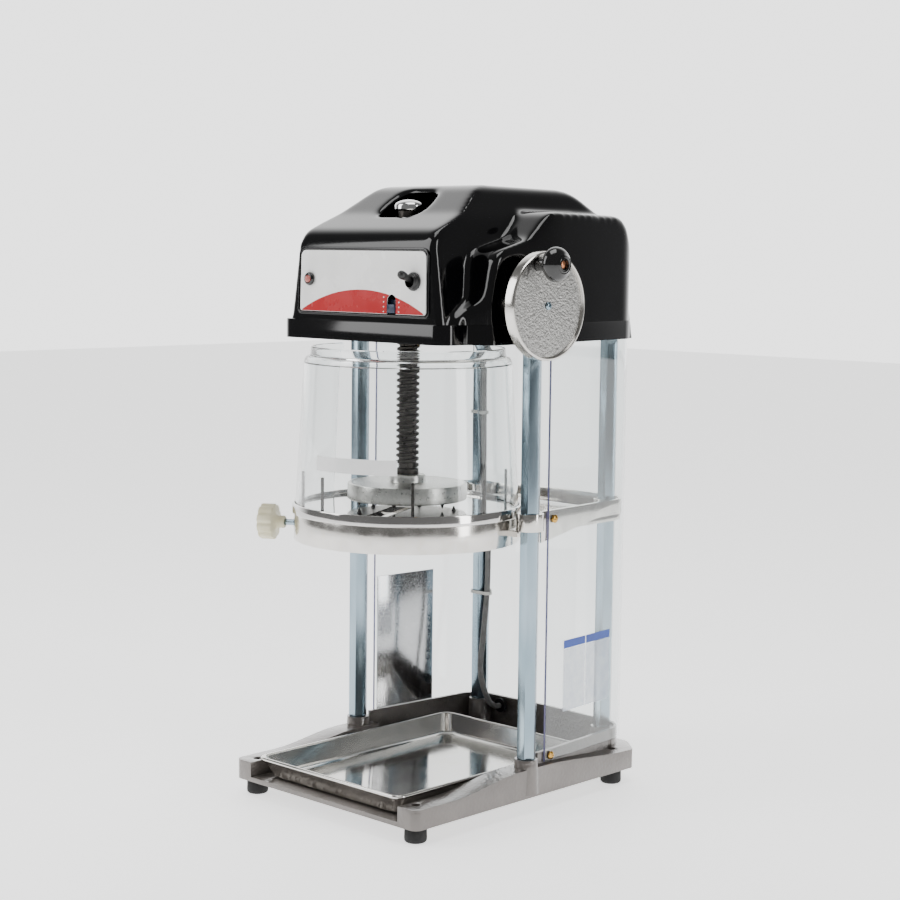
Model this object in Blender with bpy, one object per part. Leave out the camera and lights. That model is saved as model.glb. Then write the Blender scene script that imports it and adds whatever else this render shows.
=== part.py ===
"""Block ice shaver: a cast base with four columns, a blade table, a turning ice case,
a screw-driven press plate and a moulded head with the drive inside.

Lengths are metres, angles are degrees. X points right, Y to the back and Z up.
"""
import bpy
import bmesh
from math import asin, atan2, cos, pi, radians, sin, sqrt, tan, tau
from mathutils import Matrix, Vector

# Clearances
GAP = 0.0003
RUNNING_GAP = 0.0004
SLIDE_GAP = 0.0006
DISC_CLEARANCE = 0.0010

# Base casting, with y = 0 a little behind the front columns
BASE_WIDTH = 0.250
BASE_FRONT = -0.169
BASE_CORNER_Y = 0.141
BASE_REAR = 0.163
BASE_REAR_HALF = 0.100
FOOT_HEIGHT = 0.015
FOOT_RADIUS = 0.0105
FOOT_SPIGOT = 0.004
FOOT_INSET = 0.0155
FLOOR_THICKNESS = 0.0045
ARM_HEIGHT = 0.019
ARM_WIDTH = 0.0235
SHOULDER_HEIGHT = 0.028
RIM_TOP = 0.054
RIM_WALL = 0.004
BOSS_RADIUS = 0.0112
BOSS_TOP = 0.0515

# Columns of hexagonal bar
COLUMN_FLATS = 0.0165
COLUMN_TURN = 0.0
COLUMN_INSET = 0.0085
COLUMN_FRONT_X = BASE_WIDTH / 2 - COLUMN_INSET
COLUMN_FRONT_Y = -0.012
COLUMN_REAR_X = 0.0845
COLUMN_REAR_Y = 0.139
SPIGOT_RADIUS = 0.005

# Drip tray
TRAY_SIDE_GAP = 0.0035
TRAY_WIDTH = BASE_WIDTH - 2 * (ARM_WIDTH + TRAY_SIDE_GAP)
TRAY_FRONT = -0.165
TRAY_REAR = 0.101
TRAY_HEIGHT = 0.021
TRAY_DRAFT = 0.009
TRAY_SHEET = 0.0012
TRAY_CORNER = 0.024

# Back outline that the rim, the clear cover and the table share
OUTLINE_INSET = 0.0075
OUTLINE_HALF_FRONT = BASE_WIDTH / 2 - OUTLINE_INSET
OUTLINE_HALF_REAR = 0.1045
OUTLINE_CORNER_Y = 0.154
OUTLINE_REAR = 0.1585
OUTLINE_FRONT = 0.0035
OUTLINE_RADIUS = 0.027
COVER_SHEET = 0.002
COVER_FRONT = 0.0125
RIM_SEAT = 0.0438
COVER_SCREW_LEVELS = (0.049, 0.279)
COVER_SCREW_SHANK = 0.002
COVER_SCREW_RADIUS = 0.004
COVER_SCREW_HEAD = 0.0022
COVER_SCREW_SETBACK = 0.0085

# Bright film plate inside the cover
FILM_START = 0.014
FILM_LENGTH = 0.076
FILM_HEIGHT = 0.140
FILM_SHEET = 0.0008

# Screw axis and blade table
SCREW_Y = -0.059
TABLE_TOP = 0.2870
TABLE_PLATE = 0.006
DISC_MARGIN = 0.0145
DISC_RADIUS = BASE_WIDTH / 2 - DISC_MARGIN
DISC_RIM = 0.0026
DISC_RIM_HEIGHT = 0.004
RING_INSET = 0.002
RING_RADIUS = DISC_RADIUS - RING_INSET
RING_WALL = 0.0065
RING_DEPTH = 0.025
SHELF_FLOOR = 0.266
SHELF_SHEET = 0.005
SHELF_FRONT = -0.030
TABLE_WALL = 0.004
GUSSET_LOW = 0.2557
GUSSET_HIGH = 0.272
GUSSET_END = 0.095
COLLAR_RADIUS = 0.0132
COLLAR_LOW = 0.2705
SLOT_ANGLE = -64.0
SLOT_INNER = 0.014
SLOT_MARGIN = 0.0145
SLOT_OUTER = DISC_RADIUS - SLOT_MARGIN
SLOT_WIDTH = 0.022
PIN_RADIUS = 0.0015
PIN_HEIGHT = 0.034
PIN_CLEARANCE = 0.0013
PIN_ANGLES = (232.0, 264.0, 318.0, 0.0, 58.0)

# Blade and its adjuster
BLADE_WIDTH = 0.014
BLADE_THICKNESS = 0.002
BLADE_TILT = 30.0
BLADE_TRAVEL = 0.0015
HOLDER_DEPTH = 0.009
RAIL_HALF = 0.009
ADJUST_ANGLE = 210.7
ADJUST_Z = 0.2655
ADJUST_KNOB_RADIUS = 0.0175
ADJUST_KNOB_LENGTH = 0.015
ADJUST_STANDOFF = 0.024
ADJUST_KNOB_START = RING_RADIUS + ADJUST_STANDOFF
ADJUST_HUB_RADIUS = 0.0062
ADJUST_HUB_LENGTH = 0.0095
ADJUST_STUD_RADIUS = 0.003
ADJUST_LUG_RADIUS = 0.0065
ADJUST_STUD_REACH = 0.0125
ADJUST_STUD_END = RING_RADIUS - ADJUST_STUD_REACH

# Ice case
CASE_INSET = 0.003
CASE_FOOT_RADIUS = DISC_RADIUS - CASE_INSET
CASE_TAPER = 0.008
CASE_TOP_RADIUS = CASE_FOOT_RADIUS - CASE_TAPER
CASE_TOP = 0.432
CASE_LIP_TOP = 0.4400
CASE_SHOULDER = 0.006
CASE_LIP_RADIUS = CASE_TOP_RADIUS - CASE_SHOULDER
CASE_WALL = 0.003
CASE_DRAW = CASE_TAPER / (CASE_TOP - TABLE_TOP)
PIN_CIRCLE = CASE_FOOT_RADIUS - CASE_WALL - CASE_DRAW * PIN_HEIGHT - PIN_RADIUS - PIN_CLEARANCE
CASE_OPENING = 90.0
CASE_OPENING_ANGLE = 135.0

# Press plate, lead screw and cap
PLATE_RADIUS = 0.0575
PLATE_THICKNESS = 0.016
PLATE_LOW = 0.294
PLATE_HUB_RADIUS = 0.0175
PLATE_HUB_HEIGHT = 0.008
SPIKE_COUNT = 6
SPIKE_RADIUS = 0.0022
SPIKE_LENGTH = 0.0055
SPIKE_CIRCLE = 0.047
SCREW_RADIUS = 0.0112
SCREW_TOP = 0.569
KEYWAY_WIDTH = 0.005
KEYWAY_DEPTH = 0.003
CAP_RADIUS = 0.0145
CAP_HEIGHT = 0.010

# Head
HEAD_BOTTOM = 0.4468
HEAD_LIP_TOP = 0.465
HEAD_WALL = 0.003
LIP_STEP = 0.0012
HEAD_FRONT = -0.124
HEAD_REAR = 0.158
SIDE_HALF_REAR = 0.106
NOSE_INSET = 0.0165
NOSE_HALF = BASE_WIDTH / 2 - NOSE_INSET
SIDE_OVERHANG = 0.0035
SIDE_HALF = BASE_WIDTH / 2 + SIDE_OVERHANG
SIDE_MID_Y = 0.005
SIDE_TOP = 0.567
LEDGE_TOP = 0.5335
SIDE_FRONT = -0.086
HEAD_TOP = 0.595
EYE_WIDTH = 0.062
EYE_FRONT = -0.079
EYE_REAR = -0.040
CHASSIS_THICKNESS = 0.008
WHEEL_HOLE = 0.012

# Drive
PULLEY_RADIUS = 0.052
PULLEY_WIDTH = 0.012
PULLEY_LOW = 0.508
STAND_LOW = 0.5010
STAND_HIGH = 0.5060
STAND_RADIUS = 0.046
STAND_POSTS = (120.0, 200.0, 280.0)
SLEEVE_RADIUS = 0.0175
BELT_HALF = 0.0028
BELT_THICKNESS = 0.005
MOTOR_Y = 0.078
MOTOR_RADIUS = 0.045
MOTOR_HEIGHT = 0.046
MOTOR_PULLEY_RADIUS = 0.016
MOTOR_SHAFT_RADIUS = 0.005
GEAR_MODULE = 0.0025
NUT_TEETH = 24
IDLER_TEETH = 16
MITRE_MODULE = 0.002
MITRE_TEETH = 16
MITRE_TOOTH_WIDTH = 0.86
GEAR_FACE = 0.006
GEAR_BEVEL = 0.0045
NUT_HUB_RADIUS = 0.017
IDLER_SHAFT = 0.004
NUT_GEAR_LOW = 0.4575
TOOTH_FOOT = 0.47
TOOTH_CREST = 0.20
ADDENDUM = 0.8
DEDENDUM = 1.1

# Handwheel on the right
WHEEL_Y = -0.035
WHEEL_Z = 0.4826
WHEEL_RADIUS = 0.050
WHEEL_THICKNESS = 0.0115
WHEEL_STANDOFF = 0.0285
WHEEL_FACE_X = SIDE_HALF + WHEEL_STANDOFF
WHEEL_RECESS = 0.0025
WHEEL_SHAFT_RADIUS = 0.005
HUB_GAP = 0.003
HUB_START = SIDE_HALF + HUB_GAP
BEARING_INSET = 0.0305
BEARING_X = SIDE_HALF - BEARING_INSET
BEARING_WIDTH = 0.014
CRANK_RADIUS = 0.040
CRANK_ANGLE = 110.0
KNOB_RADIUS = 0.016
KNOB_NECK_RADIUS = 0.0065
KNOB_NECK = 0.015
KNOB_HEAD = 0.016

# Control panel on the nose
PANEL_INSET = 0.024
PANEL_HALF = NOSE_HALF - PANEL_INSET
PANEL_LOW = 0.473
PANEL_HIGH = 0.5305
PANEL_SHEET = 0.001
LAMP_INSET = 0.0143
LAMP_X = LAMP_INSET - PANEL_HALF
SWITCH_INSET = 0.015
SWITCH_X = PANEL_HALF - SWITCH_INSET
CONTROL_Z = 0.5033
LAMP_BORE = 0.0040
LAMP_FLANGE = 0.0052
LAMP_LENS = 0.0034
SWITCH_BORE = 0.0060
SWITCH_FLANGE = 0.0085
SWITCH_LEAN = 22.0
SLOT_SPACING = 0.0293
SLOT_X = SWITCH_X - SLOT_SPACING
SLOT_HALF = 0.006
SLOT_LOW = 0.473
SLOT_HIGH = 0.491

# Cord
CORD_RADIUS = 0.0030
CORD_X = -0.0712
CORD_Y = 0.1350
TIE_HEIGHTS = (0.362, 0.168)
GLAND_X = -0.063
GLAND_Z = 0.0445
GLAND_BORE = 0.0055
COIL_LOOP_RADIUS = 0.047
COIL_PITCH = 0.0074
COIL_RISE = 0.0068
COIL_LAYERS = 2
COIL_LOOPS = 3
COIL_X = -0.035
COIL_Y = 0.227
TIE_HALF = 0.0016
TIE_SHEET = 0.0015
TAIL_BEND = 0.024
BLADE_SPACING = 0.0127
BLADE_LENGTH = 0.016
PLUG_WIDTH = 0.024
PLUG_LENGTH = 0.026
PLUG_HEIGHT = 0.0125

# Where the machine's own frame sits: the origin is under the middle of its outline
KNOB_END = ADJUST_KNOB_START + ADJUST_KNOB_LENGTH
LEFT_END = KNOB_END * cos(radians(ADJUST_ANGLE)) + ADJUST_KNOB_RADIUS * sin(radians(ADJUST_ANGLE))
RIGHT_END = WHEEL_FACE_X - WHEEL_RECESS + RUNNING_GAP + KNOB_NECK + KNOB_HEAD
FRONT_END = min(SCREW_Y - DISC_RADIUS, BASE_FRONT)
REAR_END = BASE_REAR
MACHINE_X = -(LEFT_END + RIGHT_END) / 2
MACHINE_Y = -(FRONT_END + REAR_END) / 2


# Scene and materials

def clear_scene():
    for item in list(bpy.data.objects):
        bpy.data.objects.remove(item, do_unlink=True)


def linear(value):
    return value / 12.92 if value <= 0.04045 else ((value + 0.055) / 1.055) ** 2.4


def material(name, colour, roughness, metallic=0.0, alpha=1.0):
    """One Principled material; colour is an sRGB hex string."""
    made = bpy.data.materials.new(name)
    made.use_nodes = True
    shader = made.node_tree.nodes["Principled BSDF"]
    parts = [linear(int(colour[i:i + 2], 16) / 255) for i in (0, 2, 4)]
    shader.inputs["Base Color"].default_value = (*parts, 1.0)
    shader.inputs["Roughness"].default_value = roughness
    shader.inputs["Metallic"].default_value = metallic
    shader.inputs["Alpha"].default_value = alpha
    return made


def frame_empty(name, place, turn=(0.0, 0.0, 0.0), parent=None):
    empty = bpy.data.objects.new(name, None)
    empty.location = place
    empty.rotation_euler = [radians(angle) for angle in turn]
    empty.parent = parent
    bpy.context.scene.collection.objects.link(empty)
    return empty


def solid(name, mesh, parent=None, surface=None):
    made = bpy.data.objects.new(name, mesh)
    bpy.context.scene.collection.objects.link(made)
    made.parent = parent
    if surface:
        made.data.materials.append(surface)
    return made


def mesh_from(name, points, faces):
    builder = bmesh.new()
    verts = [builder.verts.new(point) for point in points]
    for face in faces:
        builder.faces.new([verts[i] for i in face])
    bmesh.ops.recalc_face_normals(builder, faces=builder.faces)
    mesh = bpy.data.meshes.new(name)
    builder.to_mesh(mesh)
    builder.free()
    return mesh


# Outlines

def arc(centre, radius, start, end, steps):
    """Points along an arc, both ends included."""
    turns = [radians(start + (end - start) * i / steps) for i in range(steps + 1)]
    return [(centre[0] + radius * cos(t), centre[1] + radius * sin(t)) for t in turns]


def rounded(corners, radii, steps=4, closed=True):
    """Polygon corners, each replaced by an arc of its own radius."""
    points = []
    count = len(corners)
    for i, corner in enumerate(corners):
        if radii[i] <= 0 or (not closed and i in (0, count - 1)):
            points.append(tuple(corner))
            continue
        here = Vector(corner)
        before = (Vector(corners[i - 1]) - here).normalized()
        after = (Vector(corners[(i + 1) % count]) - here).normalized()
        half = before.angle(after) / 2
        reach = radii[i] / sin(half)
        centre = here + (before + after).normalized() * reach
        first = here + before * (radii[i] / (sin(half) / cos(half))) - centre
        last = here + after * (radii[i] / (sin(half) / cos(half))) - centre
        start = atan2(first.y, first.x)
        sweep = (atan2(last.y, last.x) - start + pi) % tau - pi
        for k in range(steps + 1):
            angle = start + sweep * k / steps
            points.append((centre.x + radii[i] * cos(angle), centre.y + radii[i] * sin(angle)))
    return points


def offset_path(corners, distance):
    """An open path moved sideways: a positive distance goes to the right of its run."""
    lines = []
    for a, b in zip(corners, corners[1:]):
        run = (Vector(b) - Vector(a)).normalized()
        side = Vector((run.y, -run.x)) * distance
        lines.append((Vector(a) + side, run))
    points = [lines[0][0]]
    for (p, d), (q, e) in zip(lines, lines[1:]):
        cross = d.x * e.y - d.y * e.x
        step = ((q - p).x * e.y - (q - p).y * e.x) / cross
        points.append(p + d * step)
    last = Vector(corners[-1]) - Vector(corners[-2])
    points.append(lines[-1][0] + last)
    return [tuple(point) for point in points]


def back_path(outset, front=None):
    """The U of the back outline from the left front round the rear to the right front."""
    start = OUTLINE_FRONT if front is None else front
    half = OUTLINE_HALF_FRONT - max(start - OUTLINE_FRONT, 0.0) * side_slope()
    corners = [(-half, start), (-OUTLINE_HALF_REAR, OUTLINE_CORNER_Y), (0.0, OUTLINE_REAR),
               (OUTLINE_HALF_REAR, OUTLINE_CORNER_Y), (half, start)]
    moved = offset_path(corners, -outset)
    return rounded(moved, [0, OUTLINE_RADIUS + outset, 0, OUTLINE_RADIUS + outset, 0], 5, False)


def back_wall(inner, outer, front=None):
    """Closed outline of a wall between two offsets of the back outline."""
    return back_path(outer, front) + back_path(inner, front)[::-1]


# Solids

def prism(name, outline, low, high, axis="Z"):
    """An outline pushed along an axis. It is drawn in XY for Z, YZ for X and XZ for Y."""
    place = {"Z": lambda a, b, t: (a, b, t), "X": lambda a, b, t: (t, a, b),
             "Y": lambda a, b, t: (a, t, b)}[axis]
    count = len(outline)
    points = [place(a, b, low) for a, b in outline] + [place(a, b, high) for a, b in outline]
    faces = [list(range(count)), list(range(count, 2 * count))]
    for i in range(count):
        j = (i + 1) % count
        faces.append([i, j, count + j, count + i])
    return mesh_from(name, points, faces)


def block(name, low, high):
    outline = [(low[0], low[1]), (high[0], low[1]), (high[0], high[1]), (low[0], high[1])]
    return prism(name, outline, low[2], high[2])


def turned(name, profile, segments=32, sweep=360.0, start=0.0):
    """A profile of (radius, height) points turned about Z. Its outline closes on itself."""
    full = sweep >= 360.0
    rings = segments if full else segments + 1
    points = []
    index = []
    for radius, height in profile:
        if radius <= 1e-9:
            index.append([len(points)] * rings)
            points.append((0.0, 0.0, height))
            continue
        index.append(list(range(len(points), len(points) + rings)))
        for k in range(rings):
            turn = radians(start + sweep * k / segments)
            points.append((radius * cos(turn), radius * sin(turn), height))
    faces = []
    for a, b in zip(index, index[1:] + index[:1]):
        for k in range(segments):
            m = (k + 1) % rings
            corners = [a[k], a[m], b[m], b[k]]
            unique = list(dict.fromkeys(corners))
            if len(unique) > 2:
                faces.append(unique)
    if not full:
        faces.append([row[0] for row in index])
        faces.append([row[-1] for row in index])
    return mesh_from(name, points, faces)


def tube_profile(inner, outer, low, high, chamfer=0.0):
    c = chamfer
    return [(inner, low), (outer - c, low), (outer, low + c), (outer, high - c),
            (outer - c, high), (inner, high)]


def shift(mesh, x=0.0, y=0.0, z=0.0):
    mesh.transform(Matrix.Translation((x, y, z)))
    return mesh


def aim(mesh, axis):
    """Turns a mesh built about Z so that it points along another direction."""
    turn = Vector((0.0, 0.0, 1.0)).rotation_difference(Vector(axis).normalized())
    mesh.transform(turn.to_matrix().to_4x4())
    return mesh


def combine(operation, body, *tools):
    """Boolean of a mesh with others: UNION, DIFFERENCE or INTERSECT."""
    for tool in tools:
        base = solid("working_body", body)
        other = solid("working_tool", tool)
        step = base.modifiers.new("combine", "BOOLEAN")
        step.operation = operation
        step.solver = "EXACT"
        step.object = other
        graph = bpy.context.evaluated_depsgraph_get()
        body = bpy.data.meshes.new_from_object(base.evaluated_get(graph))
        bpy.data.objects.remove(base)
        bpy.data.objects.remove(other)
    body.materials.clear()
    return body


def join(body, *tools):
    return combine("UNION", body, *tools)


def cut(body, *tools):
    return combine("DIFFERENCE", body, *tools)


def common(body, *tools):
    return combine("INTERSECT", body, *tools)


def part(name, mesh, surface, parent, smooth=True):
    """Names a finished solid, gives it its material and hangs it on its parent."""
    mesh.name = name
    mesh.materials.clear()
    if smooth:
        mesh.shade_smooth()
        mesh.set_sharp_from_angle(angle=radians(32))
    return solid(name, mesh, parent, surface)


def hexagon(flats, turn=0.0):
    radius = flats / sqrt(3)
    return [(radius * cos(radians(turn + 60 * i)), radius * sin(radians(turn + 60 * i)))
            for i in range(6)]


def moved(outline, x, y):
    return [(a + x, b + y) for a, b in outline]


def column_places():
    return {"fl": (-COLUMN_FRONT_X, COLUMN_FRONT_Y), "fr": (COLUMN_FRONT_X, COLUMN_FRONT_Y),
            "bl": (-COLUMN_REAR_X, COLUMN_REAR_Y), "br": (COLUMN_REAR_X, COLUMN_REAR_Y)}


# Base, feet and columns

def side_profile():
    """Height of the base's sides, from the front arms over the columns to the rear."""
    low = FOOT_HEIGHT
    arm = FOOT_HEIGHT + ARM_HEIGHT
    shoulder = FOOT_HEIGHT + SHOULDER_HEIGHT
    front = BASE_FRONT - GAP
    rise_start = BASE_FRONT + 0.050
    rise_end = COLUMN_FRONT_Y - 0.020
    fall_start = COLUMN_FRONT_Y + 0.016
    points = [(front, low), (front, arm)]
    for i in range(7):
        s = i / 6
        points.append((rise_start + (rise_end - rise_start) * s,
                       arm + (shoulder - arm) * (3 * s * s - 2 * s ** 3)))
    for i in range(7):
        s = i / 6
        points.append((fall_start + (BASE_CORNER_Y - fall_start) * s,
                       shoulder + (arm - shoulder) * (3 * s * s - 2 * s ** 3)))
    points += [(BASE_REAR + GAP, arm), (BASE_REAR + GAP, low)]
    return points


def base_outline():
    half = BASE_WIDTH / 2
    corners = [(-half, BASE_FRONT), (half, BASE_FRONT), (half, BASE_CORNER_Y),
               (BASE_REAR_HALF, BASE_REAR), (-BASE_REAR_HALF, BASE_REAR), (-half, BASE_CORNER_Y)]
    return rounded(corners, [0.008, 0.008, 0.006, 0.02, 0.02, 0.006], steps=4)


def build_base(frame, surfaces):
    floor = FOOT_HEIGHT + FLOOR_THICKNESS
    top = FOOT_HEIGHT + SHOULDER_HEIGHT + GAP
    body = prism("body", base_outline(), FOOT_HEIGHT, top)
    body = common(body, prism("profile", side_profile(), -BASE_WIDTH, BASE_WIDTH, "X"))
    well_half = BASE_WIDTH / 2 - ARM_WIDTH
    well = [(-well_half, BASE_FRONT - 0.01), (well_half, BASE_FRONT - 0.01),
            (well_half, COLUMN_FRONT_Y + 0.02), (-well_half, COLUMN_FRONT_Y + 0.02)]
    body = cut(body, prism("well", rounded(well, [0, 0, 0.006, 0.006]), floor, 0.1))
    inside = back_path(-RIM_WALL)
    body = cut(body, prism("inside", inside, floor, 0.1))
    rim = prism("rim", back_wall(-RIM_WALL, 0.0), floor - 0.001, RIM_TOP)
    body = join(body, rim)
    for x, y in column_places().values():
        boss = turned("boss", [(0, floor - 0.001), (BOSS_RADIUS + 0.0015, floor - 0.001),
                               (BOSS_RADIUS, BOSS_TOP), (0, BOSS_TOP)], 18)
        body = join(body, shift(boss, x, y))
    for x, y in column_places().values():
        hole = turned("hole", tube_profile(0, SPIGOT_RADIUS + GAP, FOOT_HEIGHT - 0.01, RIM_TOP + 0.01), 16)
        body = cut(body, shift(hole, x, y))
    rear_y = back_path(-RIM_WALL / 2)
    gland_y = min(rear_y, key=lambda point: abs(point[0] - GLAND_X))[1]
    bore = aim(turned("bore", tube_profile(0, GLAND_BORE, -0.03, 0.03), 20), (0, 1, 0))
    body = cut(body, shift(bore, GLAND_X, gland_y, GLAND_Z))
    for x, y in foot_places():
        seat = turned("seat", tube_profile(0, FOOT_SPIGOT + GAP, FOOT_HEIGHT - 0.01, 0.1), 16)
        body = cut(body, shift(seat, x, y))
    part("base_casting", body, surfaces["base"], frame)
    for name, (x, y) in zip(("fl", "fr", "bl", "br"), foot_places()):
        profile = [(0, 0), (FOOT_RADIUS - 0.003, 0), (FOOT_RADIUS - 0.0012, 0.0008),
                   (FOOT_RADIUS, FOOT_HEIGHT - GAP), (FOOT_SPIGOT, FOOT_HEIGHT - GAP),
                   (FOOT_SPIGOT, FOOT_HEIGHT + FLOOR_THICKNESS), (0, FOOT_HEIGHT + FLOOR_THICKNESS)]
        foot = part("foot_" + name, turned("foot", profile, 14), surfaces["rubber"], frame)
        foot.location = (x, y, 0)


def foot_places():
    x = BASE_WIDTH / 2 - FOOT_INSET
    rear = BASE_CORNER_Y - FOOT_INSET
    front = BASE_FRONT + FOOT_INSET
    return [(-x, front), (x, front), (-x, rear), (x, rear)]


def build_columns(frame, surfaces):
    """Hexagonal bars with a turned spigot at each end, seated in the base and the head."""
    low = BOSS_TOP + GAP
    high = HEAD_BOTTOM - GAP
    for name, (x, y) in column_places().items():
        bar = prism("bar", hexagon(COLUMN_FLATS, COLUMN_TURN), low, high)
        spigot = turned("spigot", tube_profile(0, SPIGOT_RADIUS, FOOT_HEIGHT + 0.001,
                                               HEAD_BOTTOM + CHASSIS_THICKNESS + 0.004), 16)
        column = part("column_" + name, join(bar, spigot), surfaces["zinc"], frame)
        column.location = (x, y, 0)


# Drip tray

def tray_outline(inset):
    half = TRAY_WIDTH / 2 - inset
    front = TRAY_FRONT + inset
    rear = TRAY_REAR - inset
    radius = max(TRAY_CORNER - inset, 0.004)
    corners = [(-half, front), (half, front), (half, rear), (-half, rear)]
    return rounded(corners, [radius] * 4, steps=5)


def lofted(name, loops):
    """Closed loops of equal count bridged in turn, with the first and last capped."""
    count = len(loops[0])
    points = [point for loop in loops for point in loop]
    faces = [list(range(count))]
    for k in range(len(loops) - 1):
        for i in range(count):
            j = (i + 1) % count
            a = k * count
            b = a + count
            faces.append([a + i, a + j, b + j, b + i])
    faces.append(list(range(len(points) - count, len(points))))
    return mesh_from(name, points, faces)


def build_tray(frame, surfaces):
    """A pressed dish: outer skin up, a rolled rim and the inner skin down."""
    low = FOOT_HEIGHT + FLOOR_THICKNESS + GAP
    high = low + TRAY_HEIGHT
    rim = 0.0022
    levels = [(TRAY_DRAFT + 0.002, low), (TRAY_DRAFT, low + 0.0015), (rim, high - 0.0042),
              (0.0, high - 0.0034), (0.0, high - 0.0008), (0.0008, high), (rim + 0.0006, high),
              (rim + TRAY_SHEET + 0.0002, high - 0.0014),
              (TRAY_DRAFT + TRAY_SHEET, low + TRAY_SHEET + 0.0015),
              (TRAY_DRAFT + TRAY_SHEET + 0.002, low + TRAY_SHEET)]
    loops = [[(x, y, z) for x, y in tray_outline(inset)] for inset, z in levels]
    part("drip_tray", lofted("tray", loops), surfaces["steel_bright"], frame)


# Table casting, blade table, blade and adjuster

def disc_point(radius, angle):
    """A point on a circle around the screw axis."""
    return radius * cos(radians(angle)), SCREW_Y + radius * sin(radians(angle))


def build_table(frame, surfaces):
    """Ring under the blade table, joined to the walled shelf between the columns."""
    ring_top = TABLE_TOP - TABLE_PLATE - GAP
    ring_low = ring_top - RING_DEPTH
    wall_top = TABLE_TOP
    bore = RING_RADIUS - RING_WALL
    ring = turned("ring", tube_profile(bore, RING_RADIUS, ring_low, ring_top), 36)
    ring = shift(ring, y=SCREW_Y)
    shelf_outline = back_path(-0.0005, SHELF_FRONT)
    shelf = prism("shelf", shelf_outline, SHELF_FLOOR, SHELF_FLOOR + SHELF_SHEET)
    wall = prism("wall", back_wall(-TABLE_WALL, 0.0), ring_low, wall_top)
    wedge = [(OUTLINE_FRONT - 0.01, ring_low - 0.01), (OUTLINE_REAR + 0.01, ring_low - 0.01),
             (OUTLINE_REAR + 0.01, GUSSET_HIGH), (GUSSET_END, GUSSET_HIGH),
             (OUTLINE_FRONT - 0.01, GUSSET_LOW)]
    wall = cut(wall, prism("wedge", wedge, -BASE_WIDTH, BASE_WIDTH, "X"))
    body = join(shelf, wall)
    for name, (x, y) in column_places().items():
        low = COLLAR_LOW if name in ("fl", "fr") else SHELF_FLOOR
        high = wall_top if name in ("fl", "fr") else wall_top - 0.002
        collar = turned("collar", tube_profile(0, COLLAR_RADIUS, low, high), 16)
        body = join(body, shift(collar, x, y))
    opening = turned("opening", tube_profile(0, bore + 0.001, 0.2, 0.4), 36)
    body = cut(body, shift(opening, y=SCREW_Y))
    above = turned("above", tube_profile(0, DISC_RADIUS + DISC_CLEARANCE, ring_top, 0.4), 36)
    body = cut(body, shift(above, y=SCREW_Y))
    body = join(body, ring)
    bore_again = turned("bore", tube_profile(0, bore, 0.2, 0.4), 36)
    body = cut(body, shift(bore_again, y=SCREW_Y))
    for x, y in column_places().values():
        hole = prism("hole", hexagon(COLUMN_FLATS + 2 * GAP, COLUMN_TURN), 0.2, 0.4)
        body = cut(body, shift(hole, x, y))
    passage = turned("passage", tube_profile(0, CORD_RADIUS * 1.5, 0.2, 0.4), 12)
    body = cut(body, shift(passage, CORD_X, CORD_Y))
    lug = turned("lug", tube_profile(0, ADJUST_LUG_RADIUS, bore + 0.001, RING_RADIUS + 0.0015), 20)
    body = join(body, on_adjuster(lug))
    passage = turned("passage", tube_profile(0, ADJUST_STUD_RADIUS + RUNNING_GAP, 0.09, 0.13), 16)
    body = cut(body, on_adjuster(passage))
    part("table_casting", body, surfaces["cast"], frame)


def on_adjuster(mesh):
    """Moves a mesh built about Z, with z as the distance from the screw axis, to the adjuster."""
    outward = (cos(radians(ADJUST_ANGLE)), sin(radians(ADJUST_ANGLE)), 0)
    return shift(aim(mesh, outward), y=SCREW_Y, z=ADJUST_Z)


def slot_box(width, inner, outer, low, high):
    """A box along the blade slot, given by distances from the screw axis."""
    mesh = block("slot", (inner, -width / 2, low), (outer, width / 2, high))
    mesh.transform(Matrix.Rotation(radians(SLOT_ANGLE), 4, "Z"))
    return shift(mesh, y=SCREW_Y)


def build_blade_table(frame, surfaces):
    low = TABLE_TOP - TABLE_PLATE
    rim = DISC_RADIUS - DISC_RIM
    profile = [(0, low), (DISC_RADIUS, low), (DISC_RADIUS, TABLE_TOP + DISC_RIM_HEIGHT - 0.0008),
               (DISC_RADIUS - 0.0008, TABLE_TOP + DISC_RIM_HEIGHT),
               (rim, TABLE_TOP + DISC_RIM_HEIGHT), (rim, TABLE_TOP), (0, TABLE_TOP)]
    body = shift(turned("disc", profile, 40), y=SCREW_Y)
    body = cut(body, slot_box(SLOT_WIDTH, SLOT_INNER, SLOT_OUTER, 0.2, 0.4))
    for angle in PIN_ANGLES:
        x, y = disc_point(PIN_CIRCLE, angle)
        hole = turned("hole", tube_profile(0, PIN_RADIUS + GAP, 0.2, 0.4), 8)
        body = cut(body, shift(hole, x, y))
    part("blade_table", body, surfaces["steel_bright"], frame)
    for number, angle in enumerate(PIN_ANGLES, 1):
        profile = tube_profile(0, PIN_RADIUS, low + 0.0005, TABLE_TOP + PIN_HEIGHT, 0.0004)
        pin = part("case_pin_%d" % number, turned("pin", profile, 8), surfaces["steel_dark"], frame)
        x, y = disc_point(PIN_CIRCLE, angle)
        pin.location = (x, y, 0)


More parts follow.
